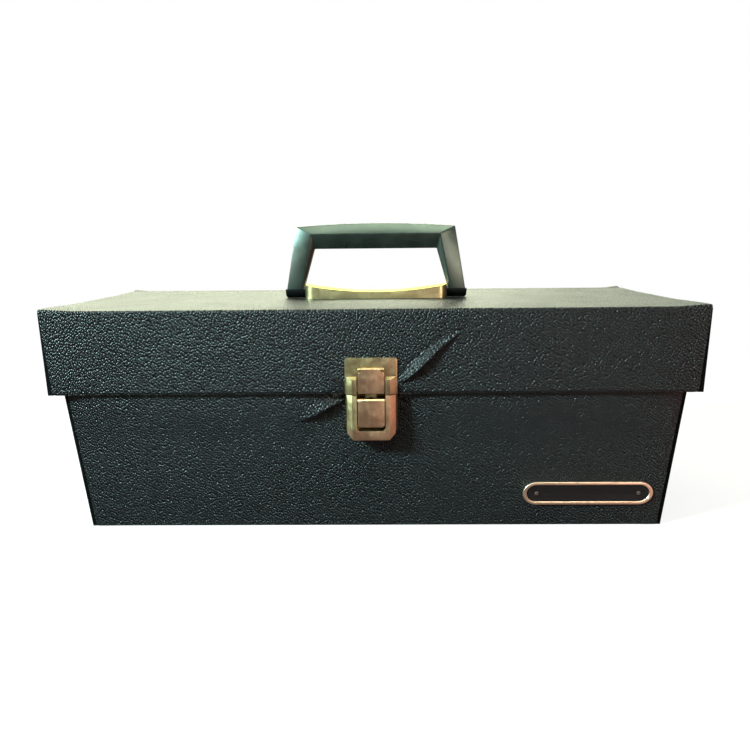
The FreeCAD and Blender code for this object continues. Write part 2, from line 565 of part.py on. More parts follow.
def lever():
    """Lift lever: a folded tray rolled round its pin at the top."""
    foot = f"({LEVER_TOP} - lever_length)"
    layer = (f"-{LATCH_FACE}", f"-{LATCH_FACE} + lever_depth")
    blank = box("LeverBlank", latch_span("lever_width"), layer, (foot, LEVER_AXIS_Z))
    low = value(foot)
    tray = rounded("LeverCorners", blank, "lever_corner",
                   lambda at, along: round(abs(along.y)) == 1 and at.z < low + NEAR)
    inside = box("LeverInside", latch_span("(lever_width - 2 * lever_metal)"),
                 (f"-{LATCH_FACE} + lever_metal", f"-{LATCH_FACE} + 2 * lever_depth"),
                 (f"{foot} + lever_metal", f"{LEVER_AXIS_Z} - lever_knuckle"))
    start = (f"{LATCH_X} - lever_width / 2", LEVER_AXIS_Y, LEVER_AXIS_Z)
    knuckle = rod("LeverKnuckle", "x", "lever_knuckle", start, "lever_width")
    form = fused("LeverForm", [tray, knuckle])
    bore = rod("LeverHole", "x", "pin_radius + running", start, "lever_width")
    node("lever", without("Lever", form, [inside, bore]))


def latch_rivets():
    """Tubular rivets of the two latch halves, and the washers that back them inside the body."""
    plate_face = f"-({LID_FRONT} + plate_metal)"
    inner_face = f"-({LID_FRONT} - vinyl - board)"
    skin = f"-{half_depth(HOUSING_TOP, '0')}"
    floor_y = f"({skin} - plate_metal)"
    wall_y = f"-{half_depth(RIVET_Z['body'], WALL)}"
    groups = {"lid_plate_rivets": (plate_face, inner_face, RIVET_Z["lid"]),
              "housing_rivets": (floor_y, f"({wall_y} + washer_board + washer_seat)", RIVET_Z["body"])}
    for label, (face, tail, z) in groups.items():
        rivets = []
        for k, x in enumerate(RIVET_X):
            head = rod(f"{label}Head{k}", "y", "rivet_head", (x, f"{face} - rivet_cap", z), "rivet_cap")
            shank = stud(f"{label}Shank{k}", "y", "rivet_shank", (x, face, z), f"{tail} - ({face})")
            clinch = stud(f"{label}Tail{k}", "y", "rivet_head", (x, tail, z), "rivet_cap")
            rivets.append(fused(f"{label}{k}", [head, shank, clinch]))
        node(label, grouped(f"{label}Group", rivets))
    washers = []
    for k, x in enumerate(RIVET_X):
        start = (x, f"{wall_y} + washer_seat", RIVET_Z["body"])
        disc = rod(f"Washer{k}", "y", "washer_radius", start, "washer_board")
        bore = stud(f"WasherBore{k}", "y", "rivet_shank", start, "washer_board")
        washers.append(without(f"WasherRing{k}", disc, [bore]))
    node("housing_washers", grouped("HousingWashers", washers))


def stadium(name, length, width, low, high):
    """Flat plate with round ends in its own frame, thick along Z."""
    straight = f"({length} - {width})"
    half = f"{width} / 2"
    pieces = [box(f"{name}Middle", (f"-{straight} / 2", f"{straight} / 2"), (f"-{half}", half), (low, high))]
    for sign in (-1, 1):
        start = (f"{sign} * {straight} / 2", "0", low)
        pieces.append(rod(f"{name}End{sign + 1}", "z", half, start, f"{high} - ({low})"))
    return fused(name, pieces)


def nameplate():
    """Bare plate with a raised rim, riveted to the leaning front."""
    outer = stadium("BadgeOuter", "badge_length", "badge_width", "0", "badge_metal")
    inner = stadium("BadgeField", "(badge_length - 2 * badge_rim)", "(badge_width - 2 * badge_rim)",
                    "badge_metal - badge_field", "badge_metal + badge_field")
    spots = [f"{sign} * (badge_length - badge_width) / 2" for sign in (-1, 1)]
    field = "(badge_metal - badge_field)"
    bores = [stud(f"BadgeBore{k}", "z", "badge_shank", (x, "0", "0"), "badge_metal") for k, x in enumerate(spots)]
    plate = without("Nameplate", outer, [inner] + bores)
    rivets = []
    for k, x in enumerate(spots):
        dome = doc.addObject("Part::Cone", f"BadgeHead{k}")
        bind(dome, Radius1="badge_head", Radius2="badge_shank", Height="badge_head - badge_shank")
        bind(dome, Placement__Base__x=x, Placement__Base__z=field)
        tail = f"(badge_play - {WALL})"
        shank = stud(f"BadgeShank{k}", "z", "badge_shank", (x, "0", tail), f"{field} - {tail}")
        rivets.append(fused(f"BadgeRivet{k}", [dome, shank]))
    pair = grouped("NameplateRivets", rivets)
    for piece in (node("nameplate", plate), node("nameplate_rivets", pair)):
        piece.Placement = FreeCAD.Placement(V(0, 0, 0), FreeCAD.Rotation(V(1, 0, 0), 90))
        bind(piece, Placement__Rotation__Angle="90 deg + atan(side_lean / rim_height)")
        bind(piece, Placement__Base__x=BADGE_MIDDLE, Placement__Base__y=f"-{half_depth('badge_height', '0')}")
        bind(piece, Placement__Base__z="badge_height")


# Handle: the pivot's height, and the ends of the bracket.
PIVOT_Z = f"({LID_TOP} + pivot_height)"


def bracket():
    """Saddle-shaped metal bracket with its bosses, screws and the steel strip inside the lid."""
    half = "bracket_length / 2"
    sag = "(bracket_end - bracket_middle)"
    radius = f"((({half})^2 + {sag}^2) / (2 * {sag}))"
    span = (f"handle_offset - {half}", f"handle_offset + {half}")
    depth = ("-bracket_depth / 2", "bracket_depth / 2")
    blank = box("BracketBlank", span, depth, (LID_TOP, f"{LID_TOP} + bracket_end"))
    block = rounded("BracketBlock", blank, "bracket_corner", lambda at, along: round(abs(along.z)) == 1)
    start = ("handle_offset", "-bracket_depth", f"{LID_TOP} + bracket_middle + {radius}")
    saddle = without("BracketSaddle", block, [rod("Saddle", "y", radius, start, "2 * bracket_depth")])
    metal = "bracket_metal"
    inner_span = (f"{span[0]} + {metal}", f"{span[1]} - {metal}")
    inner_depth = (f"{depth[0]} + {metal}", f"{depth[1]} - {metal}")
    core_blank = box("CoreBlank", inner_span, inner_depth, (LID_TOP, f"{LID_TOP} + bracket_end"))
    core = rounded("BracketCore", core_blank, f"bracket_corner - {metal}",
                   lambda at, along: round(abs(along.z)) == 1)
    over = rod("SaddleInside", "y", f"{radius} + {metal}", start, "2 * bracket_depth")
    hollow = without("BracketHollow", core, [over])
    shell = without("BracketShell", saddle, [hollow])
    boss_height = f"bracket_middle + {radius} - sqrt({radius}^2 - (screw_spread / 2)^2) - {metal} / 2"
    bosses = []
    for k, x in enumerate(SCREW_X):
        bosses.append(rod(f"Boss{k}", "z", "bracket_boss", (x, "0", LID_TOP), boss_height))
    form = fused("BracketForm", [shell] + bosses)
    depth_of_bore = f"bracket_middle - 2 * {metal}"
    bores = []
    for k, x in enumerate(SCREW_X):
        bores.append(stud(f"BossBore{k}", "z", "screw_shank", (x, "0", LID_TOP), depth_of_bore))
    pin_start = ("handle_offset - bracket_length", "0", PIVOT_Z)
    bores.append(rod("PivotBore", "x", "pivot_pin", pin_start, "2 * bracket_length"))
    node("handle_bracket", without("HandleBracket", form, bores))
    strip_z = (f"{LID_UNDER} - backing_metal", LID_UNDER)
    strip = box("StripBlank", span, depth, strip_z)
    node("bracket_backing", without("BracketBacking", strip, top_holes("StripBore", "screw_shank")))
    screws = []
    for k, x in enumerate(SCREW_X):
        head_z = f"{LID_UNDER} - backing_metal - screw_cap"
        head = rod(f"ScrewHead{k}", "z", "screw_head", (x, "0", head_z), "screw_cap")
        shank_z = f"({LID_UNDER} - backing_metal)"
        length = f"{LID_TOP} + {depth_of_bore} - {shank_z}"
        shank = stud(f"ScrewShank{k}", "z", "screw_shank", (x, "0", shank_z), length)
        screws.append(fused(f"Screw{k}", [head, shank]))
    node("bracket_screws", grouped("BracketScrews", screws))
    pins = []
    reach = "(pivot_grip + apart + 2 * bracket_metal)"
    for sign in (-1, 1):
        low = f"handle_offset - {half} + 2 * bracket_metal - {reach}"
        if sign > 0:
            low = f"handle_offset + {half} - 2 * bracket_metal"
        pins.append(rod(f"HandlePin{sign + 1}", "x", "pivot_pin", (low, "0", PIVOT_Z), reach))
    node("handle_pins", grouped("HandlePins", pins))


def hexagon(places, depths):
    """Six-sided wire through the outer edge, the ridge and the inner edge, front and back."""
    front = [V(x, -depth / 2, z) for (x, z), depth in zip(places, depths)]
    back = [V(point.x, -point.y, point.z) for point in reversed(front)]
    return Part.makePolygon(front + back + front[:1])


def handle():
    """Six-sided handle mitred at its corners, with round feet that turn on the pins."""
    middle = value("handle_offset")
    pivot = value(PIVOT_Z)
    top = value(f"{LID_TOP} + handle_height")
    lower = (0, value("grip_ridge"), value("grip_thick"))
    depths = (value("edge_depth"), value("ridge_depth"), value("inner_depth"))
    foot_depths = (value("edge_depth_foot"), value("ridge_depth_foot"), value("edge_depth_foot"))
    lines = ("outer", "ridge", "inner")
    half_feet = [value(f"bracket_length / 2 + {line}_past") for line in lines]
    half_tops = [value(f"bracket_length / 2 + {line}_past - {line}_lean") for line in lines]
    steps = int(value("arch_steps"))
    sections = [hexagon([(middle - half, pivot) for half in half_feet], foot_depths)]
    for k in range(steps + 1):
        share = 2 * k / steps - 1
        rises = (value("handle_arch") * (1 - share ** 2), 0, 0)
        places = [(middle + share * half, top + rise - drop) for half, drop, rise in zip(half_tops, lower, rises)]
        sections.append(hexagon(places, depths))
    sections.append(hexagon([(middle + half, pivot) for half in half_feet], foot_depths))
    bow = Part.makeLoft(sections, True, True)
    start = value("bracket_length / 2 + apart")
    for sign in (-1, 1):
        origin = V(middle + sign * start, 0, pivot)
        foot = Part.makeCylinder(value("foot_radius"), value("foot_length"), origin, V(sign, 0, 0))
        end = middle + sign * (start + value("foot_length"))
        rim = [edge for edge in foot.Edges if edge.Closed and abs(edge.CenterOfMass.x - end) < NEAR]
        bow = bow.fuse(foot.makeChamfer(value("foot_round"), rim))
        deep = value("pivot_grip + apart")
        bow = bow.cut(Part.makeCylinder(value("pivot_pin + running"), deep, origin, V(sign, 0, 0)))
    grip = doc.addObject("Part::Feature", "Handle")
    grip.Shape = bow.removeSplitter()
    node("handle", grip)


body_boards()
body_covers()
racks()
lid_boards()
lid_covers()
hinge_strip()
lid_plate()
hasp()
housing()
lever()
latch_rivets()
nameplate()
bracket()
handle()
doc.recompute()

# Every object must have built, and every sub-part must be sound, before anything is written.
for item in doc.Objects:
    if {"Invalid", "Error"} & set(item.State):
        raise RuntimeError(f"{item.Label} did not build: {item.State}")
for item in nodes:
    if item.Shape.isNull() or not item.Shape.isValid() or not item.Shape.Solids:
        raise RuntimeError(f"{item.Label} has no sound solid")

os.makedirs("parts", exist_ok=True)
for item in nodes:
    item.Shape.exportStep(f"parts/{item.Label}.step")
print(f"{len(nodes)} sub-parts, {sum(len(item.Shape.Solids) for item in nodes)} solids")
print("lid hinge", value(BACK), value("rim_height + lid_seat / 2"))
print("hasp axis", value(HASP_AXIS_Y), value(HASP_AXIS_Z))
print("lever axis", value(LEVER_AXIS_Y), value(LEVER_AXIS_Z))
print("handle axis", value(PIVOT_Z))
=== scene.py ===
import json
import math

import bmesh
import bpy
from mathutils import Matrix, Vector


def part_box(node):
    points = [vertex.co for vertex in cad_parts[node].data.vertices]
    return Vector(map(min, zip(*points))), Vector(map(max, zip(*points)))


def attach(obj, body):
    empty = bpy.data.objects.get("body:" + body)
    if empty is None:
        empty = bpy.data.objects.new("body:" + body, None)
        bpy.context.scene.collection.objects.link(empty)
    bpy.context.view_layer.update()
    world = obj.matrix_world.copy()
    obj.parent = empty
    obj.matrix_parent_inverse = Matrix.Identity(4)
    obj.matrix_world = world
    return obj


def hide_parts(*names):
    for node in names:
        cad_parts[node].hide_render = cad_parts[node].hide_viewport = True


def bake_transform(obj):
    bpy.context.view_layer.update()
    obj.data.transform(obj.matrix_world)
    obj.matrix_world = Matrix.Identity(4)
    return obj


bl_info = {
    "name": "Cartridge carrying case",
    "version": (1, 0, 0),
    "blender": (4, 5, 0),
    "location": "View3D > Sidebar > Case",
    "description": "Dresses the carrying case in pebbled vinyl, antique brass and black plastic",
    "category": "Object",
}

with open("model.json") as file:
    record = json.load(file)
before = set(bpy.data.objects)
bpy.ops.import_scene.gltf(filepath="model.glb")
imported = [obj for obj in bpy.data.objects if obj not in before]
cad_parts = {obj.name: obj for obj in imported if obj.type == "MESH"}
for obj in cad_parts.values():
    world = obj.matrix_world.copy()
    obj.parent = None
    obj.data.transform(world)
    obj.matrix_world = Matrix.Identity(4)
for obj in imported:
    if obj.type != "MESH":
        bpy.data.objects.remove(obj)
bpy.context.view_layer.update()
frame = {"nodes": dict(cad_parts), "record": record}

MM = 0.001

# Places that the CAD parts give.
FRONT_LOW, FRONT_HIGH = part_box("front_cover")
LID_LOW, LID_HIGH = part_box("lid_cover")
STRIP_LOW, STRIP_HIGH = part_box("hinge_strip")
BASE_LOW, BASE_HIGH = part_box("base_cover")
BRACKET_LOW, BRACKET_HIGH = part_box("handle_bracket")


# ---------------------------------------------------------------- settings

def length(name, description, default):
    """Length property in metres from a size in millimetres."""
    return bpy.props.FloatProperty(name=name, description=description, default=default * MM, unit="LENGTH", precision=5)


def colour(name, description, default):
    """Colour property with red, green and blue."""
    return bpy.props.FloatVectorProperty(name=name, description=description, default=default, subtype="COLOR",
                                         size=3, min=0.0, max=1.0)


class CaseSizes(bpy.types.PropertyGroup):
    """Sizes of the covering, the handle and the metal edges."""

    vinyl: length("Vinyl", "Thickness of the covering", 0.8)
    overlap: length("Overlap", "How far the front sheets stand proud where they lie on the turned end vinyl", 0.4)
    corner_strip: length("Corner strip", "End vinyl that shows outside the front sheet of the body", 3.1)
    sheet_corner: length("Sheet corner", "Radius of the lower corners of the body's front sheet", 2.5)
    flap_corner: length("Flap corner", "Radius of the lower corners of the lid's front sheet", 2.8)
    flap_head: length("Flap head", "Half length of the lid's front sheet at its top", 211.0)
    flap_foot: length("Flap foot", "Half length of the lid's front sheet at its lower edge", 208.3)
    edge_roll: length("Edge roll", "Radius of the covering over the lid's front edge at its ends", 1.3)
    edge_sag: length("Edge sag", "Extra radius of that edge at the middle, where it is worn round", 1.2)
    curl: length("Curl", "Lift of the lid's vinyl at its corners", 1.3)
    cut_edge: length("Cut edge", "Rounding of the vinyl's cut edges", 0.4)
    metal_edge: length("Metal edge", "Rounding of the latch's edges", 1.0)
    handle_edge: length("Handle edge", "Rounding of the handle's ridges", 0.8)


class CaseColours(bpy.types.PropertyGroup):
    """Colours of the finishes."""

    vinyl: colour("Vinyl", "Black pebbled covering", (0.0010, 0.0010, 0.0012))
    # Painted highlight: the lighter colour that the pebble tops take.
    vinyl_painted_highlight: colour("Painted vinyl highlight", "Tops of the pebbles", (0.0030, 0.0028, 0.0030))
    plastic: colour("Plastic", "Handle", (0.003, 0.005, 0.004))
    brass: colour("Brass", "Antique brass of the latch and bracket", (0.74, 0.62, 0.32))
    # Also the colour that the painted shade blends the brass towards.
    brass_dark: colour("Dark brass", "Tarnish in the hollows of the brass", (0.13, 0.09, 0.045))
    copper: colour("Copper", "Copper tone where the plating is worn", (0.76, 0.47, 0.29))
    rim: colour("Rim", "Raised rim of the nameplate", (0.93, 0.66, 0.48))
    enamel: colour("Enamel", "Field of the nameplate", (0.006, 0.004, 0.004))
    rivet: colour("Rivet", "Darkened rivets of the nameplate", (0.035, 0.020, 0.018))
    fibre: colour("Fibreboard", "Brown board of the walls", (0.17, 0.115, 0.07))
    black_board: colour("Black board", "Racks and dividers", (0.030, 0.030, 0.033))
    lining: colour("Lining", "Paper of the floor and the lid", (0.045, 0.043, 0.046))
    steel: colour("Steel", "Screws, pins and washers", (0.52, 0.52, 0.53))


def sizes():
    """Sizes that the panel shows."""
    return bpy.context.scene.case_sizes


def colours():
    """Colours that the panel shows."""
    return bpy.context.scene.case_colours


# ---------------------------------------------------------------- shaping

def alone(piece):
    """Leaves one object selected and active."""
    bpy.ops.object.select_all(action="DESELECT")
    piece.select_set(True)
    bpy.context.view_layer.objects.active = piece
    return piece


def smooth(t):
    """Soft step from 0 to 1."""
    t = min(1.0, max(0.0, t))
    return t * t * (3 - 2 * t)


def graded(*spans):
    """Rising numbers through spans of (start, end, steps)."""
    marks = [spans[0][0]]
    for start, end, steps in spans:
        marks += [start + (end - start) * (k + 1) / steps for k in range(steps)]
    return marks


def draped(name, across, along, place):
    """Sheet of a grid whose vertices are laid by a function of both parameters."""
    bpy.ops.object.select_all(action="DESELECT")
    bpy.ops.mesh.primitive_grid_add(x_subdivisions=len(across) - 1, y_subdivisions=len(along) - 1, size=1,
                                    location=(0, 0, 0))
    piece = bpy.context.object
    piece.name = piece.data.name = name
    if len(piece.data.vertices) != len(across) * len(along):
        raise RuntimeError(f"{name}: the grid has {len(piece.data.vertices)} vertices")
    for vertex in piece.data.vertices:
        i = round((vertex.co.x + 0.5) * (len(across) - 1))
        j = round((vertex.co.y + 0.5) * (len(along) - 1))
        vertex.co = Vector(place(across[i], along[j])) * MM
    return piece


def turned_to(piece, direction):
    """Sheet whose faces look along a direction on the whole."""
    total = Vector((0, 0, 0))
    for face in piece.data.polygons:
        total += face.normal * face.area
    if total.dot(Vector(direction)) < 0:
        alone(piece)
        bpy.ops.object.mode_set(mode="EDIT")
        bpy.ops.mesh.select_all(action="SELECT")
        bpy.ops.mesh.flip_normals()
        bpy.ops.object.mode_set(mode="OBJECT")
    return piece


def applied(piece, kind, **values):
    """Adds a modifier with these values and applies it."""
    alone(piece)
    modifier = piece.modifiers.new(kind.title(), kind)
    for name, setting in values.items():
        setattr(modifier, name, setting)
    bpy.ops.object.modifier_apply(modifier=modifier.name)
    return piece


def thickened(piece, thickness):
    """Sheet with a wall behind its faces."""
    return applied(piece, "SOLIDIFY", thickness=thickness, offset=-1.0, use_even_offset=False)


def softened(piece, width, steps=2, angle=35):
    """Piece whose sharp edges are rounded, shaded smooth."""
    applied(piece, "BEVEL", width=width, segments=steps, limit_method="ANGLE", angle_limit=math.radians(angle),
            use_clamp_overlap=True, profile=0.5)
    alone(piece)
    bpy.ops.object.shade_smooth_by_angle(angle=math.radians(angle))
    return piece


def copied(node, name):
    """Copy of a CAD node's mesh with its triangles merged and joined into flat faces."""
    piece = bpy.data.objects.new(name, frame["nodes"][node].data.copy())
    piece.data.name = name
    bpy.context.scene.collection.objects.link(piece)
    alone(piece)
    bpy.ops.mesh.customdata_custom_splitnormals_clear()
    bpy.ops.object.mode_set(mode="EDIT")
    bpy.ops.mesh.select_all(action="SELECT")
    bpy.ops.mesh.remove_doubles(threshold=0.00001)
    bpy.ops.mesh.dissolve_limited(angle_limit=math.radians(0.6))
    bpy.ops.mesh.normals_make_consistent(inside=False)
    bpy.ops.object.mode_set(mode="OBJECT")
    return piece


def edges_where(piece, chosen):
    """Selects, in edit mode, the edges that a test of both ends picks."""
    alone(piece)
    bpy.ops.object.mode_set(mode="EDIT")
    bpy.ops.mesh.select_mode(type="EDGE")
    bpy.ops.mesh.select_all(action="DESELECT")
    mesh = bmesh.from_edit_mesh(piece.data)
    for edge in mesh.edges:
        ends = [vertex.co / MM for vertex in edge.verts]
        if chosen(*ends):
            edge.select_set(True)
    bmesh.update_edit_mesh(piece.data)


def rounded_where(piece, width, steps, chosen):
    """Rounds the chosen edges."""
    edges_where(piece, chosen)
    bpy.ops.mesh.bevel(offset=width, offset_type="OFFSET", segments=steps, affect="EDGES", clamp_overlap=True)
    bpy.ops.object.mode_set(mode="OBJECT")
    return piece


def finished(piece, body, slot, material, *nodes):
    """Gives a piece its finish and its body, and hides the CAD nodes that it stands for."""
    piece.data.materials.clear()
    piece.data.materials.append(material)
    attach(piece, body)
    if nodes:
        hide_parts(*nodes)
    return piece


# ---------------------------------------------------------------- finishes

class Signal:
    """Output of a shader node, which takes part in Python expressions as a number."""

    def __init__(self, finish, socket):
        self.finish = finish
        self.socket = socket

    def maths(self, operation, first, second):
        return self.finish.node("ShaderNodeMath", {"operation": operation}, {0: first, 1: second})

    def __add__(self, other):
        return self.maths("ADD", self, other)

    def __radd__(self, other):
        return self.maths("ADD", other, self)

    def __sub__(self, other):
        return self.maths("SUBTRACT", self, other)

    def __rsub__(self, other):
        return self.maths("SUBTRACT", other, self)

    def __mul__(self, other):
        return self.maths("MULTIPLY", self, other)

    def __rmul__(self, other):
        return self.maths("MULTIPLY", other, self)

    def __truediv__(self, other):
        return self.maths("DIVIDE", self, other)

    def __rtruediv__(self, other):
        return self.maths("DIVIDE", other, self)

    def __pow__(self, other):
        return self.maths("POWER", self, other)


class Finish:
    """Material with one Principled shader, built from expressions."""

    def __init__(self, name, **fixed):
        self.material = bpy.data.materials.new(name)
        self.material.use_nodes = True
        self.tree = self.material.node_tree
        self.tree.nodes.clear()
        self.shader = self.tree.nodes.new("ShaderNodeBsdfPrincipled")
        output = self.tree.nodes.new("ShaderNodeOutputMaterial")
        self.tree.links.new(self.shader.outputs[0], output.inputs["Surface"])
        self.place = self.node("ShaderNodeTexCoord", {}, {}, "Object")
        for socket, setting in fixed.items():
            self.put(self.shader, socket.replace("_", " "), setting)

    def put(self, node, socket, setting):
        """Sets or links one socket."""
        if isinstance(setting, Signal):
            self.tree.links.new(setting.socket, node.inputs[socket])
        elif node.inputs[socket].type == "RGBA":
            node.inputs[socket].default_value = (*setting[:3], 1.0)
        else:
            node.inputs[socket].default_value = setting

    def node(self, kind, settings=None, inputs=None, output=0):
        """Adds a node: its settings first, then its sockets; returns the named output."""
        made = self.tree.nodes.new(kind)
        for name, setting in (settings or {}).items():
            setattr(made, name, setting)
        for socket, setting in (inputs or {}).items():
            self.put(made, socket, setting)
        return Signal(self, made.outputs[output])

    def noise(self, scale, detail=2.0, roughness=0.5, at=None):
        """Noise between 0 and 1 over the piece."""
        return self.node("ShaderNodeTexNoise", {}, {"Vector": at or self.place, "Scale": scale, "Detail": detail,
                                                    "Roughness": roughness}, "Fac")

    def cells(self, feature, scale, at, flat):
        """Distances in Voronoi cells over the piece, or over a plane."""
        return self.node("ShaderNodeTexVoronoi", {"feature": feature, "voronoi_dimensions": "2D" if flat else "3D"},
                         {"Vector": at, "Scale": scale, "Randomness": 0.8}, "Distance")

    def ramp(self, signal, low, high, bottom=0.0, top=1.0):
        """Smooth change from bottom to top as the signal goes from low to high."""
        return self.node("ShaderNodeMapRange", {"interpolation_type": "SMOOTHSTEP"},
                         {"Value": signal, "From Min": low, "From Max": high, "To Min": bottom, "To Max": top})

    def blend(self, factor, first, second):
        """Colour between two colours."""
        return self.node("ShaderNodeMix", {"data_type": "RGBA"}, {0: factor, 6: first, 7: second}, 2)

    def stretched(self, scale, turn=(0.0, 0.0, 0.0)):
        """Object coordinates scaled along each axis."""
        return self.node("ShaderNodeMapping", {}, {"Vector": self.place, "Scale": scale, "Rotation": turn})

    def axis(self, name):
        """One coordinate of the piece."""
        return self.node("ShaderNodeSeparateXYZ", {}, {0: self.place}, name)

    def bumped(self, height, distance, strength=1.0):
        """Relief on the whole surface, with heights from 0 to 1 over a distance."""
        relief = self.node("ShaderNodeBump", {}, {"Strength": strength, "Distance": distance, "Height": height})
        self.put(self.shader, "Normal", relief)

    def set(self, **sockets):
        """Sets or links sockets of the shader."""
        for socket, setting in sockets.items():
            self.put(self.shader, socket.replace("_", " "), setting)
        return self.material


# Pebbles per metre, and the depth in metres from a pebble's top to the crease beside it.
GRAIN = 670.0
RELIEF = 0.00092
LEAN = math.radians(57)

# Fine creases beside the latch: (x, z) of both ends and half width in metres, depth as a share of the relief.
CREASES = (
    ((0.0145, 0.1040), (0.0580, 0.1440), 0.0046, 0.17),
    ((-0.0175, 0.0990), (-0.0400, 0.1215), 0.0013, 0.12),
    ((-0.0170, 0.0955), (-0.0480, 0.0815), 0.0040, 0.06),
)
CREASE_WIDTH = 0.0017
STRETCH = 0.55


def creased(finish, start, end, reach):
    """Waves across a line on the front, and where they are: they fade to its sides and along it."""
    run = math.hypot(end[0] - start[0], end[1] - start[1])
    dx, dz = (end[0] - start[0]) / run, (end[1] - start[1]) / run
    x = finish.axis("X") - start[0]
    z = finish.axis("Z") - start[1]
    along = (x * dx + z * dz) / run
    aside = z * dx - x * dz + (finish.noise(120.0, 1.0) - 0.5) * 0.0016
    wave = finish.node("ShaderNodeMath", {"operation": "COSINE"}, {0: aside * (2 * math.pi / CREASE_WIDTH)})
    near = finish.ramp(aside * aside, 0.0, reach ** 2, 1.0, 0.0)
    near = near * finish.ramp(along, -0.02, 0.06) * finish.ramp(along, 0.4, 1.0, 1.0, 0.0)
    return wave, near


def vinyl_finish(name, creases=()):
    """Pebbled black vinyl: rounded cells with creases between, and a satin top; the pebble tops are painted lighter as
    a painted highlight, and the creases are darkened as painted shade.
    """
    finish = Finish(name, Specular_IOR_Level=0.30)
    place = finish.place
    if creases:
        x, v = finish.axis("X"), finish.axis("Z") - finish.axis("Y")
        place = finish.node("ShaderNodeCombineXYZ", {}, {
            "X": (x * math.cos(LEAN) + v * math.sin(LEAN)) * 0.80,
            "Y": (v * math.cos(LEAN) - x * math.sin(LEAN)) * 1.20})
    wander = finish.node("ShaderNodeTexNoise", {}, {"Vector": place, "Scale": 300.0, "Detail": 1.0}, "Color")
    shifted = finish.node("ShaderNodeVectorMath", {"operation": "MULTIPLY_ADD"},
                          {0: wander, 1: (0.0007, 0.0007, 0.0007), 2: place})
    valley = finish.cells("DISTANCE_TO_EDGE", GRAIN, shifted, bool(creases))
    dome = finish.cells("F1", GRAIN, shifted, bool(creases))
    pebble = 1 - dome * dome * 1.4
    patches = finish.noise(38.0, 3.0)
    height = (pebble * 0.82 + finish.ramp(valley, 0.0, 0.16) * 0.18) * (0.9 + 0.2 * patches)
    height = height + finish.noise(4200.0, 1.0) * 0.03
    if creases:
        above = finish.node("ShaderNodeMath", {"operation": "ABSOLUTE"}, {0: finish.axis("Z") - LID_LOW.z - 0.0003})
        height = height * finish.ramp(above, 0.0004, 0.0014, 0.35, 1.0)
        for start, end, reach, depth in creases:
            wave, near = creased(finish, start, end, reach)
            height = height * (1 - near * STRETCH) + wave * near * depth
    finish.bumped(height, RELIEF)
    # Painted highlight: the pebble tops are laid in the lighter colour.
    lit = finish.ramp(pebble, 0.55, 1.0)
    tone = finish.blend(lit, colours().vinyl, colours().vinyl_painted_highlight)
    # Painted shade in the creases: they turn metallic over the near-black colour, which takes away their sheen, and a
    # little rougher.
    painted_crease_shade = finish.ramp(valley, 0.01, 0.15, 0.75, 0.0)
    rough = finish.ramp(patches, 0.3, 0.7, 0.36, 0.40) + painted_crease_shade * 0.12
    return finish.set(Base_Color=tone, Roughness=rough, Metallic=painted_crease_shade)


def corner_strip_shade_finish(name):
    """End vinyl where it is turned over the front corners: smooth, dull and darker than the rest, as painted shade on
    that strip.
    """
    finish = Finish(name, Specular_IOR_Level=0.03)
    pores = finish.noise(1800.0, 3.0)
    finish.bumped(pores, 0.0001)
    # Painted shade: the strip's colour is darker than the vinyl's.
    tone = finish.blend(pores, [c * 0.3 for c in colours().vinyl], colours().vinyl)
    return finish.set(Base_Color=tone, Roughness=finish.ramp(pores, 0.3, 0.7, 0.6, 0.75))


def plastic_finish(name):
    """Black moulded plastic with a soft sheen and light handling marks; its reflections are tinted green, a painted
    tint of the light.
    """
    # Painted reflection: the green specular tint stands in for the tint of the light.
    finish = Finish(name, Specular_IOR_Level=0.9, Specular_Tint=(0.84, 1.0, 0.86))
    smears = finish.noise(90.0, 4.0, 0.6)
    fine = finish.noise(2600.0, 2.0)
    finish.bumped(fine * 0.6 + smears * 0.4, 0.00005)
    tone = finish.blend(finish.ramp(smears, 0.4, 0.75), colours().plastic, [c * 1.5 for c in colours().plastic])
    return finish.set(Base_Color=tone, Roughness=finish.ramp(smears, 0.3, 0.7, 0.27, 0.36))


def foot_shade_finish(name):
    """Matt plastic of the handle's feet, darker than the handle's: painted shade on the feet."""
    finish = Finish(name, Specular_IOR_Level=0.14)
    fine = finish.noise(2600.0, 2.0)
    finish.bumped(fine, 0.00005)
    # Painted shade: a colour darker than the handle's plastic.
    tone = finish.blend(fine, [c * 0.1 for c in colours().plastic], [c * 0.4 for c in colours().plastic])
    return finish.set(Base_Color=tone, Roughness=finish.ramp(fine, 0.3, 0.7, 0.4, 0.5))


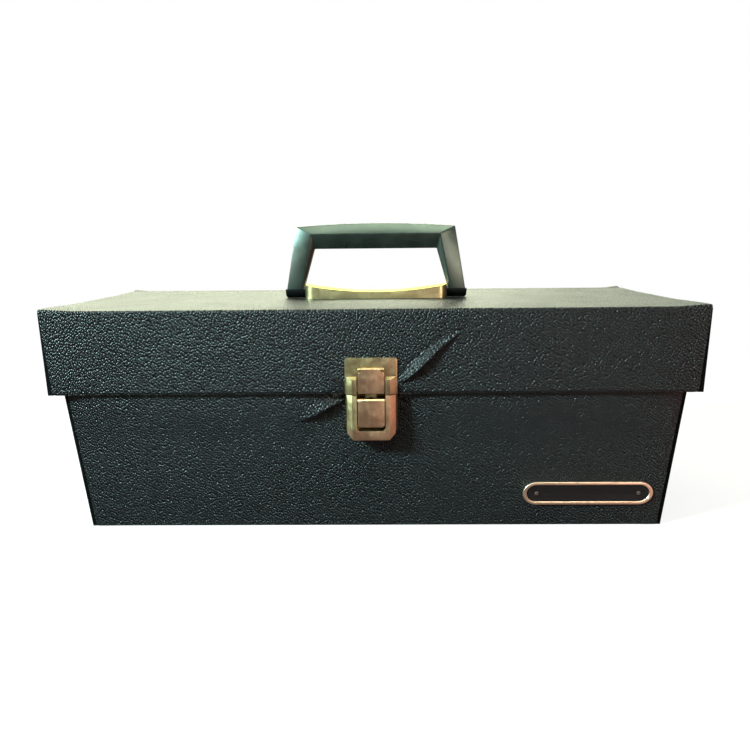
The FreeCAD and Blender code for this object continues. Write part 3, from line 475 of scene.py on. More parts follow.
def brass_finish(name, copper_from, copper_to, copper_foot=0.0, depth=None, shade=0.0, edge=(1.0, 1.0, 1.0)):
    """Antique brass: brushed, tarnished in patches and in its hollows, and copper where the plating is worn; a shade
    share darkens it all over as painted shade.
    """
    finish = Finish(name, Metallic=1.0, Specular_Tint=edge)
    brushed = finish.noise(900.0, 3.0, 0.6, finish.stretched((1.0, 1.0, 0.25)))
    blotch = finish.noise(160.0, 4.0, 0.6)
    cloud = finish.noise(420.0, 3.0, 0.6)
    worn = finish.ramp(finish.axis("X") + (blotch - 0.5) * 0.012, copper_from, copper_to)
    if copper_foot:
        foot = finish.ramp(finish.axis("Z") + (blotch - 0.5) * 0.004, copper_foot + 0.004, copper_foot)
        worn = worn + foot - worn * foot
    metal = finish.blend(worn, colours().brass, colours().copper)
    tarnish_and_shade = finish.ramp(blotch * 0.5 + cloud * 0.5, 0.3, 0.8) * 0.35
    if depth:
        hollow = finish.ramp(finish.axis("Y"), depth - 0.0004, depth + 0.0004)
        tarnish_and_shade = tarnish_and_shade + hollow * 0.9 - tarnish_and_shade * hollow * 0.9
    # Painted shade: the shade share blends the whole finish towards dark brass.
    tarnish_and_shade = tarnish_and_shade * (1 - shade) + shade
    tone = finish.blend(tarnish_and_shade, metal, colours().brass_dark)
    finish.bumped(brushed * 0.7 + blotch * 0.3, 0.00005)
    return finish.set(Base_Color=tone, Roughness=finish.ramp(blotch, 0.3, 0.75, 0.30, 0.46))


def rim_finish(name):
    """Polished copper-gold rim of the nameplate."""
    finish = Finish(name, Metallic=1.0)
    wear = finish.noise(300.0, 3.0)
    tone = finish.blend(finish.ramp(wear, 0.45, 0.8) * 0.35, colours().rim, colours().brass_dark)
    finish.bumped(wear, 0.00002)
    return finish.set(Base_Color=tone, Roughness=finish.ramp(wear, 0.3, 0.7, 0.32, 0.44))


def enamel_finish(name, tint):
    """Dull enamel with a fine stipple."""
    finish = Finish(name, Specular_IOR_Level=0.08)
    stipple = finish.noise(3000.0, 2.0)
    finish.bumped(stipple, 0.00003)
    tone = finish.blend(stipple * 0.5, tint, [c * 2.0 for c in tint])
    return finish.set(Base_Color=tone, Roughness=finish.ramp(stipple, 0.3, 0.7, 0.32, 0.46))


def fibre_finish(name):
    """Brown fibreboard with flecks and a pressed surface."""
    finish = Finish(name)
    flecks = finish.noise(1400.0, 3.0, 0.7, finish.stretched((1.0, 0.4, 0.4)))
    cloud = finish.noise(60.0, 3.0)
    tone = finish.blend(finish.ramp(flecks, 0.35, 0.7), [c * 0.55 for c in colours().fibre], colours().fibre)
    tone = finish.blend(cloud * 0.3, tone, [c * 0.4 for c in colours().fibre])
    finish.bumped(flecks, 0.00012)
    return finish.set(Base_Color=tone, Roughness=finish.ramp(flecks, 0.3, 0.7, 0.75, 0.9))


def board_finish(name):
    """Black board with a faint fibre and scuffed edges."""
    finish = Finish(name)
    fibres = finish.noise(1100.0, 3.0, 0.65, finish.stretched((0.5, 1.0, 0.5)))
    scuffs = finish.ramp(finish.noise(70.0, 4.0, 0.6), 0.55, 0.8)
    tone = finish.blend(finish.ramp(fibres, 0.35, 0.75), colours().black_board, [c * 1.8 for c in colours().black_board])
    tone = finish.blend(scuffs * 0.25, tone, [c * 3.0 for c in colours().black_board])
    finish.bumped(fibres, 0.0001)
    return finish.set(Base_Color=tone, Roughness=finish.ramp(fibres, 0.3, 0.7, 0.62, 0.8))


def paper_finish(name):
    """Embossed lining paper."""
    finish = Finish(name)
    linen = finish.node("ShaderNodeTexWave", {"wave_type": "BANDS", "bands_direction": "X"},
                        {"Vector": finish.place, "Scale": 320.0, "Distortion": 0.6}, "Fac")
    cross = finish.node("ShaderNodeTexWave", {"wave_type": "BANDS", "bands_direction": "Y"},
                        {"Vector": finish.place, "Scale": 320.0, "Distortion": 0.6}, "Fac")
    cloud = finish.noise(45.0, 3.0)
    tone = finish.blend(cloud * 0.6, colours().lining, [c * 1.6 for c in colours().lining])
    finish.bumped(linen * 0.5 + cross * 0.5, 0.00008)
    return finish.set(Base_Color=tone, Roughness=finish.ramp(cloud, 0.3, 0.7, 0.7, 0.85))


def steel_finish(name):
    """Zinc-plated steel with brushed marks."""
    finish = Finish(name, Metallic=1.0)
    marks = finish.noise(1300.0, 3.0, 0.6, finish.stretched((0.3, 1.0, 1.0)))
    cloud = finish.noise(220.0, 2.0)
    tone = finish.blend(cloud * 0.5, colours().steel, [c * 0.7 for c in colours().steel])
    finish.bumped(marks, 0.00003)
    return finish.set(Base_Color=tone, Roughness=finish.ramp(marks, 0.3, 0.7, 0.28, 0.45))


MATERIALS = {}


def material(name):
    """Finish by name, made once."""
    makers = {
        "vinyl": lambda: vinyl_finish("pebbled_vinyl"),
        "front_vinyl": lambda: vinyl_finish("creased_vinyl", CREASES),
        "corner_strip_painted_shade": lambda: corner_strip_shade_finish("corner_strip_painted_shade"),
        "plastic": lambda: plastic_finish("black_plastic"),
        "foot": lambda: foot_shade_finish("foot_plastic_painted_shade"),
        # The shade shares of plate_brass, bracket_brass and the ledge copy are painted shade.
        "plate_brass": lambda: brass_finish("plate_brass", -0.010, 0.030, shade=0.30),
        "latch_brass": lambda: brass_finish("latch_brass", -0.008, 0.014, 0.070, -0.0795),
        "worn_brass": lambda: brass_finish("worn_brass", -0.03, -0.01, 0.0, -0.0815),
        "bracket_brass": lambda: brass_finish("bracket_brass", 0.0, 0.16, shade=0.22, edge=(0.80, 0.76, 0.30)),
        "ledge_brass_painted_shade": lambda: brass_finish("ledge_brass_painted_shade", -0.010, 0.030, shade=0.6),
        "rim": lambda: rim_finish("nameplate_rim"),
        "enamel": lambda: enamel_finish("nameplate_enamel", colours().enamel),
        "rivet": lambda: enamel_finish("darkened_rivet", colours().rivet),
        "fibre": lambda: fibre_finish("fibreboard"),
        "board": lambda: board_finish("black_board"),
        "paper": lambda: paper_finish("lining_paper"),
        "steel": lambda: steel_finish("zinc_steel"),
    }
    if name not in MATERIALS:
        MATERIALS[name] = makers[name]()
    return MATERIALS[name]


# ---------------------------------------------------------------- covering

# Folds that the latch has pulled into the vinyl: (x, z) start and end, height, widths above and below the crest.
FLAP_PUCKERS = [
    ((14.5, 101.0), (69.0, 148.0), 3.6, 6.2, 5.2),
    ((-17.0, 98.5), (-46.0, 127.0), 0.9, 1.8, 2.4),
]
BODY_PUCKERS = [
    ((-16.0, 92.0), (-64.0, 70.0), 3.2, 10.0, 3.4),
    ((14.5, 93.0), (36.0, 79.0), -1.0, 1.6, 2.8),
]
LATCH_MIDDLE = -1.4
LATCH_SIDE = 17.0
LID_LINE = LID_LOW.z / MM
DIMPLE = 0.6
SWELL = 0.8


def pucker(x, z, lines):
    """Height in millimetres that the folds add at a place on the front."""
    total = 0.0
    for (x0, z0), (x1, z1), height, above, below in lines:
        run = math.hypot(x1 - x0, z1 - z0)
        dx, dz = (x1 - x0) / run, (z1 - z0) / run
        along = ((x - x0) * dx + (z - z0) * dz) / run
        aside = (z - z0) * dx - (x - x0) * dz + 0.5 * math.sin(along * 9.0)
        if dx < 0:
            aside = -aside
        size = (0.4 + 0.6 * smooth(along / 0.3)) * smooth((along - 0.02) / 0.1) * (1 - smooth((along - 0.25) / 0.65))
        share = abs(aside) / ((above if aside > 0 else below) * max(0.05, size))
        total += height * size * (0.6 * max(0.0, 1 - share) + 0.4 * smooth(1 - share))
    return total


def dimple(x, z):
    """Depth in millimetres of the hollow that the latch has pressed beside itself, less the swelling round it."""
    reach = math.hypot((abs(x - LATCH_MIDDLE) - LATCH_SIDE) / 9.0, (z - LID_LINE) / 7.0)
    swollen = math.hypot((x - LATCH_MIDDLE) / 62.0, (z - LID_LINE) / 26.0)
    return DIMPLE * (1 - smooth(reach / 1.6)) - SWELL * smooth(reach / 1.6) * (1 - smooth(swollen))


def tuck(x, z):
    """How far the flap's lower edge turns in beside the latch, and its bead stands out along the rest."""
    beside = smooth((40.0 - abs(x - LATCH_MIDDLE)) / 22.0)
    rise = z - LID_LINE
    return 0.9 * beside * (1 - smooth(rise / 5.0)) - BEAD * (1 - beside) * (1 - smooth((rise - 0.3) / 0.9))


BEAD = 0.0
PADDING = 3.1
INSET = 0.65


def body_half_length(z):
    """Half length of the body at a height."""
    share = z / (FRONT_HIGH.z / MM)
    return (BASE_HIGH.x / MM) + share * (FULL_HALF - BASE_HIGH.x / MM)


FULL_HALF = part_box("right_end_cover")[1].x / MM
RIM = FRONT_HIGH.z / MM
FOOT_DEPTH = -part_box("base_cover")[0].y / MM
RIM_DEPTH = -FRONT_LOW.y / MM


def front_sheet():
    """Vinyl over the body's front: its cut ends lie on the turned end vinyl, and the latch has puckered it."""
    strip = sizes().corner_strip / MM
    radius = sizes().sheet_corner / MM
    overlap = sizes().overlap / MM
    foot = 0.3

    def half(z):
        rise = z - foot
        inset = strip
        if rise < radius:
            inset += radius - math.sqrt(max(0.0, radius ** 2 - (radius - rise) ** 2))
        return BASE_HALF + (FULL_HALF - BASE_HALF) * z / RIM - inset

    def place(u, z):
        x = u * half(z)
        wall = FOOT_DEPTH0 + (RIM_DEPTH - FOOT_DEPTH0) * z / RIM
        lap = overlap * smooth((abs(x) - half(z) + 22.0) / 18.0) * (1 - smooth((z - 120) / 20))
        out = max(-INSET, pucker(x, z, BODY_PUCKERS) - dimple(x, z))
        out *= 1 - smooth((z - LID_LINE + 1.0) / 8.0) * 0.9
        if z < LID_LINE - 0.3:
            padding = PADDING * smooth((z - 58) / 30) * smooth((abs(x - LATCH_MIDDLE) - LATCH_SIDE - 2) / 26)
            out += padding * (0.15 + 0.85 * smooth((half(z) - abs(x)) / 14))
        else:
            out = min(0.0, out)
        return (x, -(wall + lap + out), z)

    across = graded((-1, -0.28, 26), (-0.28, 0.22, 150), (0.22, 1, 30))
    along = graded((foot, foot + 0.2, 1), (foot + 0.2, foot + 2.6, 5), (foot + 2.6, 66, 14), (66, 94.6, 45),
                   (94.6, LID_LINE - 0.35, 2), (LID_LINE - 0.35, LID_LINE - 0.1, 1), (LID_LINE - 0.1, 100, 5),
                   (100, RIM, 8))
    return draped("front_vinyl", across, along, place)


BASE_HALF = BASE_HIGH.x / MM
FOOT_DEPTH0 = FOOT_DEPTH


def lid_sheet():
    """One sheet of vinyl from the lid's lower edge, over the front edge and back to the hinge strip."""
    head = sizes().flap_head / MM
    foot_half = sizes().flap_foot / MM
    radius = sizes().flap_corner / MM
    overlap = sizes().overlap / MM
    roll = sizes().edge_roll / MM
    sag = sizes().edge_sag / MM
    curl = sizes().curl / MM
    front = -LID_LOW.y / MM
    top = LID_HIGH.z / MM
    end = LID_HIGH.x / MM
    back = LID_HIGH.y / MM
    shoulder = top - roll - sag - 0.2

    def half(z):
        rise = z - LID_LINE
        inset = 0.0
        if rise < radius:
            inset = radius - math.sqrt(max(0.0, radius ** 2 - (radius - rise) ** 2))
        return foot_half + (head - foot_half) * (z - LID_LINE) / (top - LID_LINE) - inset

    def lift(x, y):
        edge = smooth((abs(x) - end + 34.0) / 34.0)
        return curl * edge ** 2 * (smooth((-y - 20) / 60) + 0.5 * smooth((y - 30) / 40))

    def bend(x):
        return roll + sag * math.exp(-((x + 12.0) / 95.0) ** 2)

    def place(u, row):
        kind, at = row
        if kind == "flap":
            x = u * half(at)
            lap = overlap * smooth((abs(x) - half(at) + 22.0) / 18.0)
            out = max(-INSET, pucker(x, at, FLAP_PUCKERS) - dimple(x, at) - tuck(x, at))
            return (x, -(front + lap + out), at + lift(x, -front) * smooth((at - LID_LINE) / 50))
        x = u * (head + (end - head) * (0.0 if kind == "bend" else smooth((at + front) / 10)))
        lap = overlap * smooth((abs(x) - end + 22.0) / 18.0)
        if kind == "bend":
            radius_here = bend(x)
            y = -(front - radius_here + radius_here * math.cos(at) + lap * (1 - at / (math.pi / 2)))
            return (x, y, top - radius_here + radius_here * math.sin(at) + lift(x, -front))
        return (x, at, top + lift(x, at))

    across = graded((-1, -0.9, 8), (-0.9, -0.24, 24), (-0.24, 0.32, 170), (0.32, 0.9, 22), (0.9, 1, 8))
    rows = [("flap", z) for z in graded((LID_LINE, LID_LINE + 1.6, 5), (LID_LINE + 1.6, LID_LINE + 6, 7),
                                        (LID_LINE + 6, shoulder, 56))]
    rows += [("bend", math.pi / 2 * k / 6) for k in range(7)]
    rows += [("top", y) for y in graded((-front + roll + sag + 0.4, -front + 12, 4), (-front + 12, back, 12))]
    return draped("lid_vinyl", across, rows, place)


def strip_sheet():
    """Vinyl hinge from the body's back, round the lid's back edge and onto its top."""
    back = STRIP_HIGH.y / MM
    top = STRIP_HIGH.z / MM
    foot = STRIP_LOW.z / MM
    lid_end = STRIP_HIGH.x / MM
    reach = STRIP_LOW.y / MM
    curl = sizes().curl / MM
    lean = (RIM_DEPTH - FOOT_DEPTH) / RIM
    roll = 1.2

    def place(u, row):
        kind, at = row
        if kind == "back":
            share = smooth((at - RIM + 6) / 9)
            low_half = FULL_HALF - 3.2 - (RIM - at) * (FULL_HALF - BASE_HALF) / RIM
            half = low_half + (lid_end - 3.7 - low_half) * share
            y = back - max(0.0, RIM - at) * lean
            return (u * half, y, at)
        half = lid_end - 3.7 + 3.7 * smooth((top - roll * 0.6 - TURN[at][1] * roll - top + 2 * roll) / roll) if kind == "bend" else lid_end
        if kind == "bend":
            angle = TURN[at][0]
            half = lid_end - 3.7 * (1 - smooth(angle / (math.pi / 2)))
            y = back - roll + roll * math.cos(angle)
            z = top - roll + roll * math.sin(angle)
        else:
            y, z = at, top
        x = u * half
        lift = curl * smooth((abs(x) - lid_end + 18) / 18) ** 2 * smooth((y - reach) / 10)
        return (x, y, z + lift)

    across = graded((-1, -0.93, 8), (-0.93, 0.93, 30), (0.93, 1, 8))
    rows = [("back", z) for z in graded((foot, RIM - 5, 3), (RIM - 5, top - roll, 16))]
    rows += [("bend", k) for k in range(1, 6)]
    rows += [("top", y) for y in graded((back - roll - 0.5, reach, 5))]
    return draped("hinge_vinyl", across, rows, place)


TURN = [(math.pi / 2 * k / 5, k / 5) for k in range(6)]


class CASE_OT_front_vinyl(bpy.types.Operator):
    """Lays the puckered vinyl over the body's front"""

    bl_idname = "case.front_vinyl"
    bl_label = "Body front vinyl"

    def execute(self, context):
        sheet = turned_to(front_sheet(), (0, -1, 0))
        thickened(sheet, sizes().vinyl * 0.9)
        softened(sheet, sizes().cut_edge, 2, 50)
        finished(sheet, "case_body", "vinyl", material("front_vinyl"), "front_cover")
        return {"FINISHED"}


class CASE_OT_lid_vinyl(bpy.types.Operator):
    """Lays one sheet of vinyl over the lid's front and top"""

    bl_idname = "case.lid_vinyl"
    bl_label = "Lid vinyl"

    def execute(self, context):
        sheet = turned_to(lid_sheet(), (0, -1, 1))
        thickened(sheet, sizes().vinyl * 0.9)
        softened(sheet, sizes().cut_edge, 2, 50)
        finished(sheet, "lid", "vinyl", material("front_vinyl"), "lid_cover")
        return {"FINISHED"}


class CASE_OT_hinge_vinyl(bpy.types.Operator):
    """Makes the vinyl strip that bends at the lid's hinge"""

    bl_idname = "case.hinge_vinyl"
    bl_label = "Hinge strip"

    def execute(self, context):
        strip = turned_to(strip_sheet(), (0, 1, 1))
        thickened(strip, sizes().vinyl * 0.9)
        softened(strip, sizes().cut_edge * 0.7, 1, 50)
        strip.data.materials.clear()
        strip.data.materials.append(material("vinyl"))
        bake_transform(strip)
        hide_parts("hinge_strip")
        return {"FINISHED"}


class CASE_OT_end_vinyl(bpy.types.Operator):
    """Rounds the vinyl over the ends, the back and the base of the body, and over the ends of the lid"""

    bl_idname = "case.end_vinyl"
    bl_label = "End, back and base vinyl"

    def execute(self, context):
        for node, body in (("left_end_cover", "case_body"), ("right_end_cover", "case_body"),
                           ("lid_left_cover", "lid"), ("lid_right_cover", "lid")):
            piece = copied(node, node.replace("cover", "vinyl"))
            low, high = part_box(node)
            outer = (high.x if high.x > 0 else low.x) / MM

            def corner(a, b):
                upright = abs(a.z - b.z) > 20
                near_end = min(abs(abs(a.x) - abs(outer)), 30) < 14 and abs(a.y) > 70 and abs(b.y) > 70
                skin = abs(a.y) > abs(low.y / MM) - 5.0
                return upright and near_end and skin and on_skin(a, outer) and on_skin(b, outer)

            rounded_where(piece, 0.9 * MM, 3, corner)
            softened(piece, 0.22 * MM, 1, 40)
            finished(piece, body, "vinyl", material("vinyl"), node)
            # Painted shade: faces that look to the front, the turned strip at the corners, take the dark, dull strip
            # finish.
            piece.data.materials.append(material("corner_strip_painted_shade"))
            for polygon in piece.data.polygons:
                if polygon.normal.y < -0.4:
                    polygon.material_index = 1
        for node, width in (("back_cover", 0.25), ("base_cover", 0.5)):
            piece = softened(copied(node, node.replace("cover", "vinyl")), width * MM, 2, 40)
            finished(piece, "case_body", "vinyl", material("vinyl"), node)
        return {"FINISHED"}


def on_skin(point, outer):
    """True for a point on the outermost corner line of an end."""
    if abs(outer) > FULL_HALF + 1:
        return abs(abs(point.x) - abs(outer)) < 0.1
    return abs(abs(point.x) - body_half_length(point.z)) < 0.1


# ---------------------------------------------------------------- handle and bracket

# Handle in its own plane, in millimetres from its middle and from the pivot: outer edge, ridge and inner edge.
HANDLE_MIDDLE = 1.5
PIVOT_HEIGHT = 156.7
HANDLE_FEET = ((66.55, 0.0), (55.75, 0.0), (54.6, 0.0))
HANDLE_TOPS = ((58.3, 45.8), (47.15, 40.4), (45.45, 29.9))
HANDLE_DEPTHS = (3.2, 6.5, 3.8)
FOOT_DEPTHS = (5.3, 5.8, 5.3)
HANDLE_ARCH = (2.3, 0.0, 0.0)
FOOT_RADIUS = 6.1
FOOT_LENGTH = 14.6


def handle_section(share, foot):
    """Six points round the handle at a share of its way across: -1 and 1 are the corners."""
    points = []
    for k in range(3):
        if foot:
            x, z = HANDLE_FEET[k]
            depth = FOOT_DEPTHS[k]
            x = math.copysign(x, share)
        else:
            x, z = HANDLE_TOPS[k]
            x *= share
            z += HANDLE_ARCH[k] * (1 - share ** 2)
            depth = HANDLE_DEPTHS[k]
        points.append((x + HANDLE_MIDDLE, -depth, z + PIVOT_HEIGHT))
    return points + [(x, -y, z) for x, y, z in reversed(points)]


class CASE_OT_handle(bpy.types.Operator):
    """Makes the six-sided handle with mitred corners and round feet"""

    bl_idname = "case.handle"
    bl_label = "Handle"

    def execute(self, context):
        sections = [handle_section(-1, True), *(handle_section(-1 + k / 5, False) for k in range(11)), handle_section(1, True)]
        bow = draped("handle_bow", list(range(len(sections))), list(range(7)), lambda i, j: sections[i][j % 6])
        alone(bow)
        bpy.ops.object.mode_set(mode="EDIT")
        bpy.ops.mesh.select_all(action="SELECT")
        bpy.ops.mesh.remove_doubles(threshold=0.00001)
        bpy.ops.mesh.select_all(action="DESELECT")
        bpy.ops.mesh.select_mode(type="EDGE")
        bpy.ops.mesh.select_non_manifold()
        bpy.ops.mesh.fill_holes(sides=0)
        bpy.ops.mesh.select_all(action="SELECT")
        bpy.ops.mesh.normals_make_consistent(inside=False)
        bpy.ops.object.mode_set(mode="OBJECT")
        softened(bow, sizes().handle_edge, 3, 18)
        low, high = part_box("handle")
        for side in (-1, 1):
            inner = HANDLE_MIDDLE * MM + side * ((BRACKET_HIGH.x - BRACKET_LOW.x) / 2 + 0.3 * MM)
            bpy.ops.object.select_all(action="DESELECT")
            bpy.ops.mesh.primitive_cylinder_add(vertices=48, radius=FOOT_RADIUS * MM, depth=FOOT_LENGTH * MM,
                                                location=(inner + side * FOOT_LENGTH / 2 * MM, 0, PIVOT_HEIGHT * MM),
                                                rotation=(0, math.pi / 2, 0))
            foot = bpy.context.object
            bpy.ops.object.transform_apply(location=True, rotation=True, scale=True)
            outer = inner / MM + side * FOOT_LENGTH
            rounded_where(foot, 1.6 * MM, 4, lambda a, b: abs(a.x - outer) < 0.1 and abs(b.x - outer) < 0.1)
            alone(foot)
            bpy.ops.object.mode_set(mode="EDIT")
            bpy.ops.mesh.select_all(action="SELECT")
            bpy.ops.mesh.bisect(plane_co=(0, 0, (PIVOT_HEIGHT + 0.5) * MM), plane_no=(0, 0, 1), use_fill=True, clear_outer=True)
            bpy.ops.object.mode_set(mode="OBJECT")
            applied(bow, "BOOLEAN", operation="UNION", solver="EXACT", object=foot)
            bpy.data.objects.remove(foot)
        alone(bow)
        bpy.ops.object.shade_smooth_by_angle(angle=math.radians(32))
        bow.name = bow.data.name = "handle_grip"
        finished(bow, "handle", "black_plastic", material("plastic"), "handle")
        # Painted shade: the feet, below the pivot where they curve under, take the darker matt plastic.
        bow.data.materials.append(material("foot"))
        for polygon in bow.data.polygons:
            if polygon.center.z < (PIVOT_HEIGHT + 0.7) * MM:
                polygon.material_index = 1
        return {"FINISHED"}


class CASE_OT_bracket(bpy.types.Operator):
    """Rounds the folded edges of the handle's bracket"""

    bl_idname = "case.bracket"
    bl_label = "Handle bracket"

    def execute(self, context):
        piece = copied("handle_bracket", "bracket_shell")
        face = BRACKET_HIGH.y / MM
        lid_top = BRACKET_LOW.z / MM
        rounded_where(piece, 0.9 * MM, 4, lambda a, b: min(a.z, b.z) > lid_top + 3.5
                      and min(abs(a.y), abs(b.y)) > face - 0.05)
        alone(piece)
        bpy.ops.object.shade_smooth_by_angle(angle=math.radians(32))
        finished(piece, "lid", "antique_brass", material("bracket_brass"), "handle_bracket")
        return {"FINISHED"}


# ---------------------------------------------------------------- latch and nameplate

class CASE_OT_latch(bpy.types.Operator):
    """Rounds the pressed edges of the latch's plate, housing, hasp and lever"""

    bl_idname = "case.latch"
    bl_label = "Latch"

    def execute(self, context):
        edge = sizes().metal_edge
        for node, name, body, width, finish in (
                ("latch_lid_plate", "latch_plate_pressed", "lid", edge * 0.8, "plate_brass"),
                ("latch_housing", "latch_housing_pressed", "case_body", edge * 0.7, "latch_brass"),
                ("hasp", "hasp_pressed", "hasp", edge, "worn_brass"),
                ("lever", "lever_pressed", "lever", edge, "worn_brass")):
            low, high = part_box(node)
            piece = cornered(copied(node, name), 1.2 * MM, low.y + 2.6 * MM)
            crisp_edges(piece, width, low.y + 2.6 * MM)
            finished(piece, body, "antique_brass", material(finish), node)
            # Painted shade: faces that look up, the plate's lower ledge and the hasp's tongue take a darker copy of the
            # brass.
            piece.data.materials.append(material("ledge_brass_painted_shade"))
            for polygon in piece.data.polygons:
                low_ledge = node == "latch_lid_plate" and polygon.center.z < 0.110
                tongue = node == "hasp" and polygon.center.z < 0.0973
                if tongue or polygon.normal.z > (0.3 if low_ledge else 0.9):
                    polygon.material_index = 1
        return {"FINISHED"}


def cornered(piece, radius, behind):
    """Rounds the upright corners of a pressed sheet, seen from the front."""
    alone(piece)
    bpy.ops.object.mode_set(mode="EDIT")
    bpy.ops.mesh.select_mode(type="EDGE")
    bpy.ops.mesh.select_all(action="DESELECT")
    mesh = bmesh.from_edit_mesh(piece.data)
    found = 0
    for edge in mesh.edges:
        run = edge.verts[1].co - edge.verts[0].co
        if len(edge.link_faces) != 2 or min(vertex.co.y for vertex in edge.verts) > behind:
            continue
        if abs(run.y) > 0.95 * run.length and edge.calc_face_angle_signed() > math.radians(60):
            edge.select_set(True)
            found += 1
    bmesh.update_edit_mesh(piece.data)
    print("corners", piece.name, found)
    if found:
        bpy.ops.mesh.bevel(offset=radius, offset_type="OFFSET", segments=4, affect="EDGES", clamp_overlap=True)
    bpy.ops.object.mode_set(mode="OBJECT")
    return piece


def crisp_edges(piece, width, behind):
    """Rounds the sharp outer edges that lie in front of a plane."""
    alone(piece)
    bpy.ops.object.mode_set(mode="EDIT")
    bpy.ops.mesh.select_mode(type="EDGE")
    bpy.ops.mesh.select_all(action="DESELECT")
    mesh = bmesh.from_edit_mesh(piece.data)
    for edge in mesh.edges:
        if len(edge.link_faces) != 2 or max(vertex.co.y for vertex in edge.verts) > behind:
            continue
        if edge.calc_face_angle_signed() > math.radians(30):
            edge.select_set(True)
    bmesh.update_edit_mesh(piece.data)
    bpy.ops.mesh.bevel(offset=width, offset_type="OFFSET", segments=3, affect="EDGES", clamp_overlap=True)
    bpy.ops.object.mode_set(mode="OBJECT")
    bpy.ops.object.shade_smooth_by_angle(angle=math.radians(32))
    return piece


# Height of the nameplate as a share of the CAD part's, as it shows in the photo.
PLATE_SHARE = 0.87


class CASE_OT_nameplate(bpy.types.Operator):
    """Rounds the nameplate's rim and sets its black field and rivets"""

    bl_idname = "case.nameplate"
    bl_label = "Nameplate"

    def execute(self, context):
        low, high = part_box("nameplate")
        plate = copied("nameplate", "nameplate_bare")
        rivets = copied("nameplate_rivets", "nameplate_pins")
        drop = (high.z - low.z) * (1 - PLATE_SHARE) / 2
        for vertex in plate.data.vertices:
            vertex.co.z = low.z + (vertex.co.z - low.z) * PLATE_SHARE
        for vertex in rivets.data.vertices:
            vertex.co.z -= drop
        softened(plate, 0.35 * MM, 3, 40)
        finished(plate, "case_body", "nameplate_enamel", material("rim"), "nameplate")
        finished(rivets, "case_body", "steel", material("rivet"), "nameplate_rivets")
        plate.data.materials.append(material("enamel"))
        middle = (low + high) / 2 - Vector((0, 0, drop))
        lean = math.atan2(RIM_DEPTH - FOOT_DEPTH, RIM)
        outward = Vector((0, -math.cos(lean), -math.sin(lean)))
        face = max((vertex.co - middle).dot(outward) for vertex in plate.data.vertices)
        for polygon in plate.data.polygons:
            offset = polygon.center - middle
            if polygon.normal.dot(outward) > 0.9 and offset.dot(outward) < face - 0.4 * MM:
                polygon.material_index = 1
        return {"FINISHED"}


class CASE_OT_nodes(bpy.types.Operator):
    """Gives every CAD part that still shows its finish"""

    bl_idname = "case.nodes"
    bl_label = "Boards, racks and small metal"

    def execute(self, context):
        looks = {"fibreboard": "fibre", "black_board": "board", "vinyl": "vinyl", "lining_paper": "paper",
                 "antique_brass": "plate_brass", "nameplate_enamel": "enamel", "black_plastic": "plastic",
                 "steel": "steel"}
        for row in frame["record"]["subparts"]:
            node = frame["nodes"][row["node"]]
            node.data.materials.clear()
            node.data.materials.append(material(looks[row["material_slot"]]))
        for name in ("lid_plate_rivets", "housing_rivets", "hasp_pin", "lever_pin"):
            frame["nodes"][name].data.materials[0] = material("plate_brass")
        return {"FINISHED"}


# ---------------------------------------------------------------- stage

# Camera: place in millimetres, turn to the left, tilt down and roll in degrees, lens in millimetres.
CAMERA_PLACE = (6.41, -452.9, 191.4)
CAMERA_YAW = -0.80
CAMERA_PITCH = 12.6
CAMERA_ROLL = 0.535
CAMERA_LENS = 28.60


FLOOR_COLOUR = (0.70, 0.70, 0.69)

# How bright mirrors see the floor, and the world in front of the case and behind it.
MIRRORED_FLOOR = (0.10, 0.36, 0.13, 0.95)
MIRRORED_SKY = (0.08, 0.9)
FLOOR_TINTS = ((1.0, 0.80, 0.74), (1.0, 0.50, 0.47))
SKY_TINTS = ((1.0, 0.90, 0.92), (0.93, 1.0, 0.80))

# Soft lamps: name, place in metres, width and height, watts, colour.
LAMPS = (
    ("key", (-0.80, -0.50, 0.62), (0.16, 0.16), 48.0, (0.62, 0.97, 1.0)),
    ("overhead", (0.12, -0.48, 1.10), (0.9, 0.5), 12.0, (0.90, 1.0, 0.80)),
    ("right", (0.62, -1.05, 0.26), (0.35, 0.35), 5.0, (1.0, 0.86, 0.74)),
    ("left", (-0.75, -0.80, 0.20), (0.35, 0.35), 1.5, (1.0, 1.0, 0.90)),
    ("behind", (-0.35, 1.20, 0.45), (3.4, 0.5), 10.5, (0.92, 1.0, 0.74)),
    ("high_behind", (-0.40, 0.85, 0.80), (1.8, 0.5), 30.0, (0.94, 1.0, 0.72)),
)


def lamp(name, place, aim, size, power, tint):
    """Soft rectangular lamp that looks at a point."""
    bpy.ops.object.select_all(action="DESELECT")
    bpy.ops.object.light_add(type="AREA", location=place)
    light = bpy.context.object
    light.name = name
    light.data.shape = "RECTANGLE"
    light.data.size, light.data.size_y = size
    light.data.energy = power
    light.data.color = tint
    light.rotation_euler = (Vector(aim) - Vector(place)).to_track_quat("-Z", "Y").to_euler()
    return light


class Backdrop(Finish):
    """Node tree of the floor or the world, with the same expressions as a finish."""

    def __init__(self, tree):
        self.tree = tree
        tree.nodes.clear()
        self.place = self.node("ShaderNodeTexCoord", {}, {}, "Object")

    def seen(self, eye, mirror):
        """Share that the camera sees and that mirrors and glass see."""
        path = self.tree.nodes.new("ShaderNodeLightPath")
        camera, glossy, through = (Signal(self, path.outputs[name]) for name in
                                   ("Is Camera Ray", "Is Glossy Ray", "Is Transmission Ray"))
        return camera * eye + (glossy + through) * mirror

    def mixed(self, factor, first, second, kind):
        """Ends the tree in a mix of two shaders."""
        mix = self.tree.nodes.new("ShaderNodeMixShader")
        output = self.tree.nodes.new(kind)
        self.put(mix, 0, factor)
        self.put(mix, 1, first)
        self.put(mix, 2, second)
        self.tree.links.new(mix.outputs[0], output.inputs["Surface"])


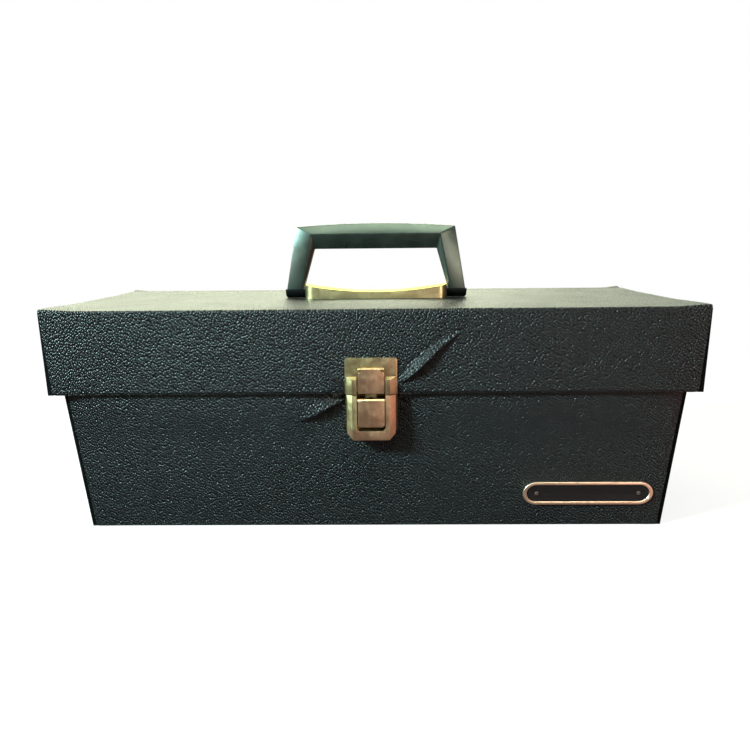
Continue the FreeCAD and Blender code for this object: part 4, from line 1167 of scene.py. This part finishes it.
class CASE_OT_stage(bpy.types.Operator):
    """Sets the pale floor, the soft light, the world and the camera"""

    bl_idname = "case.stage"
    bl_label = "Stage"

    def execute(self, context):
        scene = context.scene
        bpy.ops.object.select_all(action="DESELECT")
        bpy.ops.mesh.primitive_plane_add(size=8.0, location=(0, 0, 0))
        floor = context.object
        floor.name = "floor"
        paint = bpy.data.materials.new("pale_floor")
        paint.use_nodes = True
        ground = Backdrop(paint.node_tree)
        matt = ground.node("ShaderNodeBsdfDiffuse", {}, {"Color": FLOOR_COLOUR})
        mirrored = ground.ramp(ground.axis("X"), *MIRRORED_FLOOR)
        tint = ground.blend(ground.ramp(ground.axis("X"), *MIRRORED_FLOOR[:2]), *FLOOR_TINTS)
        glow = ground.node("ShaderNodeEmission", {}, {"Color": ground.blend(ground.seen(1.0, 0.0), tint, (1.0, 1.0, 1.0)),
                                                      "Strength": ground.seen(1.0, mirrored)})
        away = ground.node("ShaderNodeVectorMath", {"operation": "LENGTH"}, {0: ground.place}, "Value")
        ground.mixed(ground.seen(ground.ramp(away, 0.3, 0.9, 0.84, 1.0), 1.0), matt, glow, "ShaderNodeOutputMaterial")
        floor.data.materials.append(paint)

        scene.world = bpy.data.worlds.new("studio")
        scene.world.use_nodes = True
        sky = Backdrop(scene.world.node_tree)
        behind = sky.ramp(sky.axis("Y"), 0.0, 0.8)
        mirrored = behind * (MIRRORED_SKY[1] - MIRRORED_SKY[0]) + MIRRORED_SKY[0]
        dim = sky.node("ShaderNodeBackground", {}, {"Color": (0.93, 0.97, 1.0), "Strength": 0.14})
        bright = sky.node("ShaderNodeBackground", {}, {"Color": sky.blend(sky.seen(1.0, 0.0), sky.blend(behind, *SKY_TINTS), (1.0, 1.0, 1.0)),
                                                          "Strength": sky.seen(1.0, mirrored)})
        sky.mixed(sky.seen(1.0, 1.0), dim, bright, "ShaderNodeOutputWorld")

        for name, place, size, power, tint in LAMPS:
            lamp(name, place, (0, 0, 0.12), size, power, tint)

        bpy.ops.object.select_all(action="DESELECT")
        bpy.ops.object.camera_add()
        camera = context.object
        camera.data.lens = CAMERA_LENS
        camera.data.sensor_width = 36.0
        camera.data.clip_start = 0.01
        yaw, pitch, roll = (math.radians(a) for a in (CAMERA_YAW, CAMERA_PITCH, CAMERA_ROLL))
        forward = Vector((math.sin(yaw) * math.cos(pitch), math.cos(yaw) * math.cos(pitch), -math.sin(pitch)))
        right = forward.cross(Vector((0, 0, 1))).normalized()
        up = right.cross(forward)
        tilted_right = right * math.cos(roll) - up * math.sin(roll)
        tilted_up = up * math.cos(roll) + right * math.sin(roll)
        turn = Matrix((tilted_right, tilted_up, -forward)).transposed()
        camera.rotation_euler = turn.to_euler()
        camera.location = Vector(CAMERA_PLACE) * MM
        scene.camera = camera
        scene.view_settings.view_transform = "Standard"
        return {"FINISHED"}


# ---------------------------------------------------------------- panel and run

STEPS = (CASE_OT_nodes, CASE_OT_front_vinyl, CASE_OT_lid_vinyl, CASE_OT_hinge_vinyl, CASE_OT_end_vinyl,
         CASE_OT_handle, CASE_OT_bracket, CASE_OT_latch, CASE_OT_nameplate, CASE_OT_stage)


class CASE_PT_panel(bpy.types.Panel):
    """Lists the sizes, the colours and the pieces in the order that they are made"""

    bl_idname = "CASE_PT_panel"
    bl_label = "Carrying case"
    bl_space_type = "VIEW_3D"
    bl_region_type = "UI"
    bl_category = "Case"

    def draw(self, context):
        for group in (context.scene.case_sizes, context.scene.case_colours):
            box = self.layout.box()
            for name in group.__annotations__:
                box.prop(group, name)
        for step in STEPS:
            self.layout.operator(step.bl_idname)


CLASSES = (CaseSizes, CaseColours, *STEPS, CASE_PT_panel)


def register():
    for item in CLASSES:
        bpy.utils.register_class(item)
    bpy.types.Scene.case_sizes = bpy.props.PointerProperty(type=CaseSizes)
    bpy.types.Scene.case_colours = bpy.props.PointerProperty(type=CaseColours)


def unregister():
    del bpy.types.Scene.case_colours
    del bpy.types.Scene.case_sizes
    for item in reversed(CLASSES):
        bpy.utils.unregister_class(item)


def main():
    register()
    for step in STEPS:
        group, name = step.bl_idname.split(".")
        getattr(getattr(bpy.ops, group), name)()


if __name__ == "__main__":
    main()
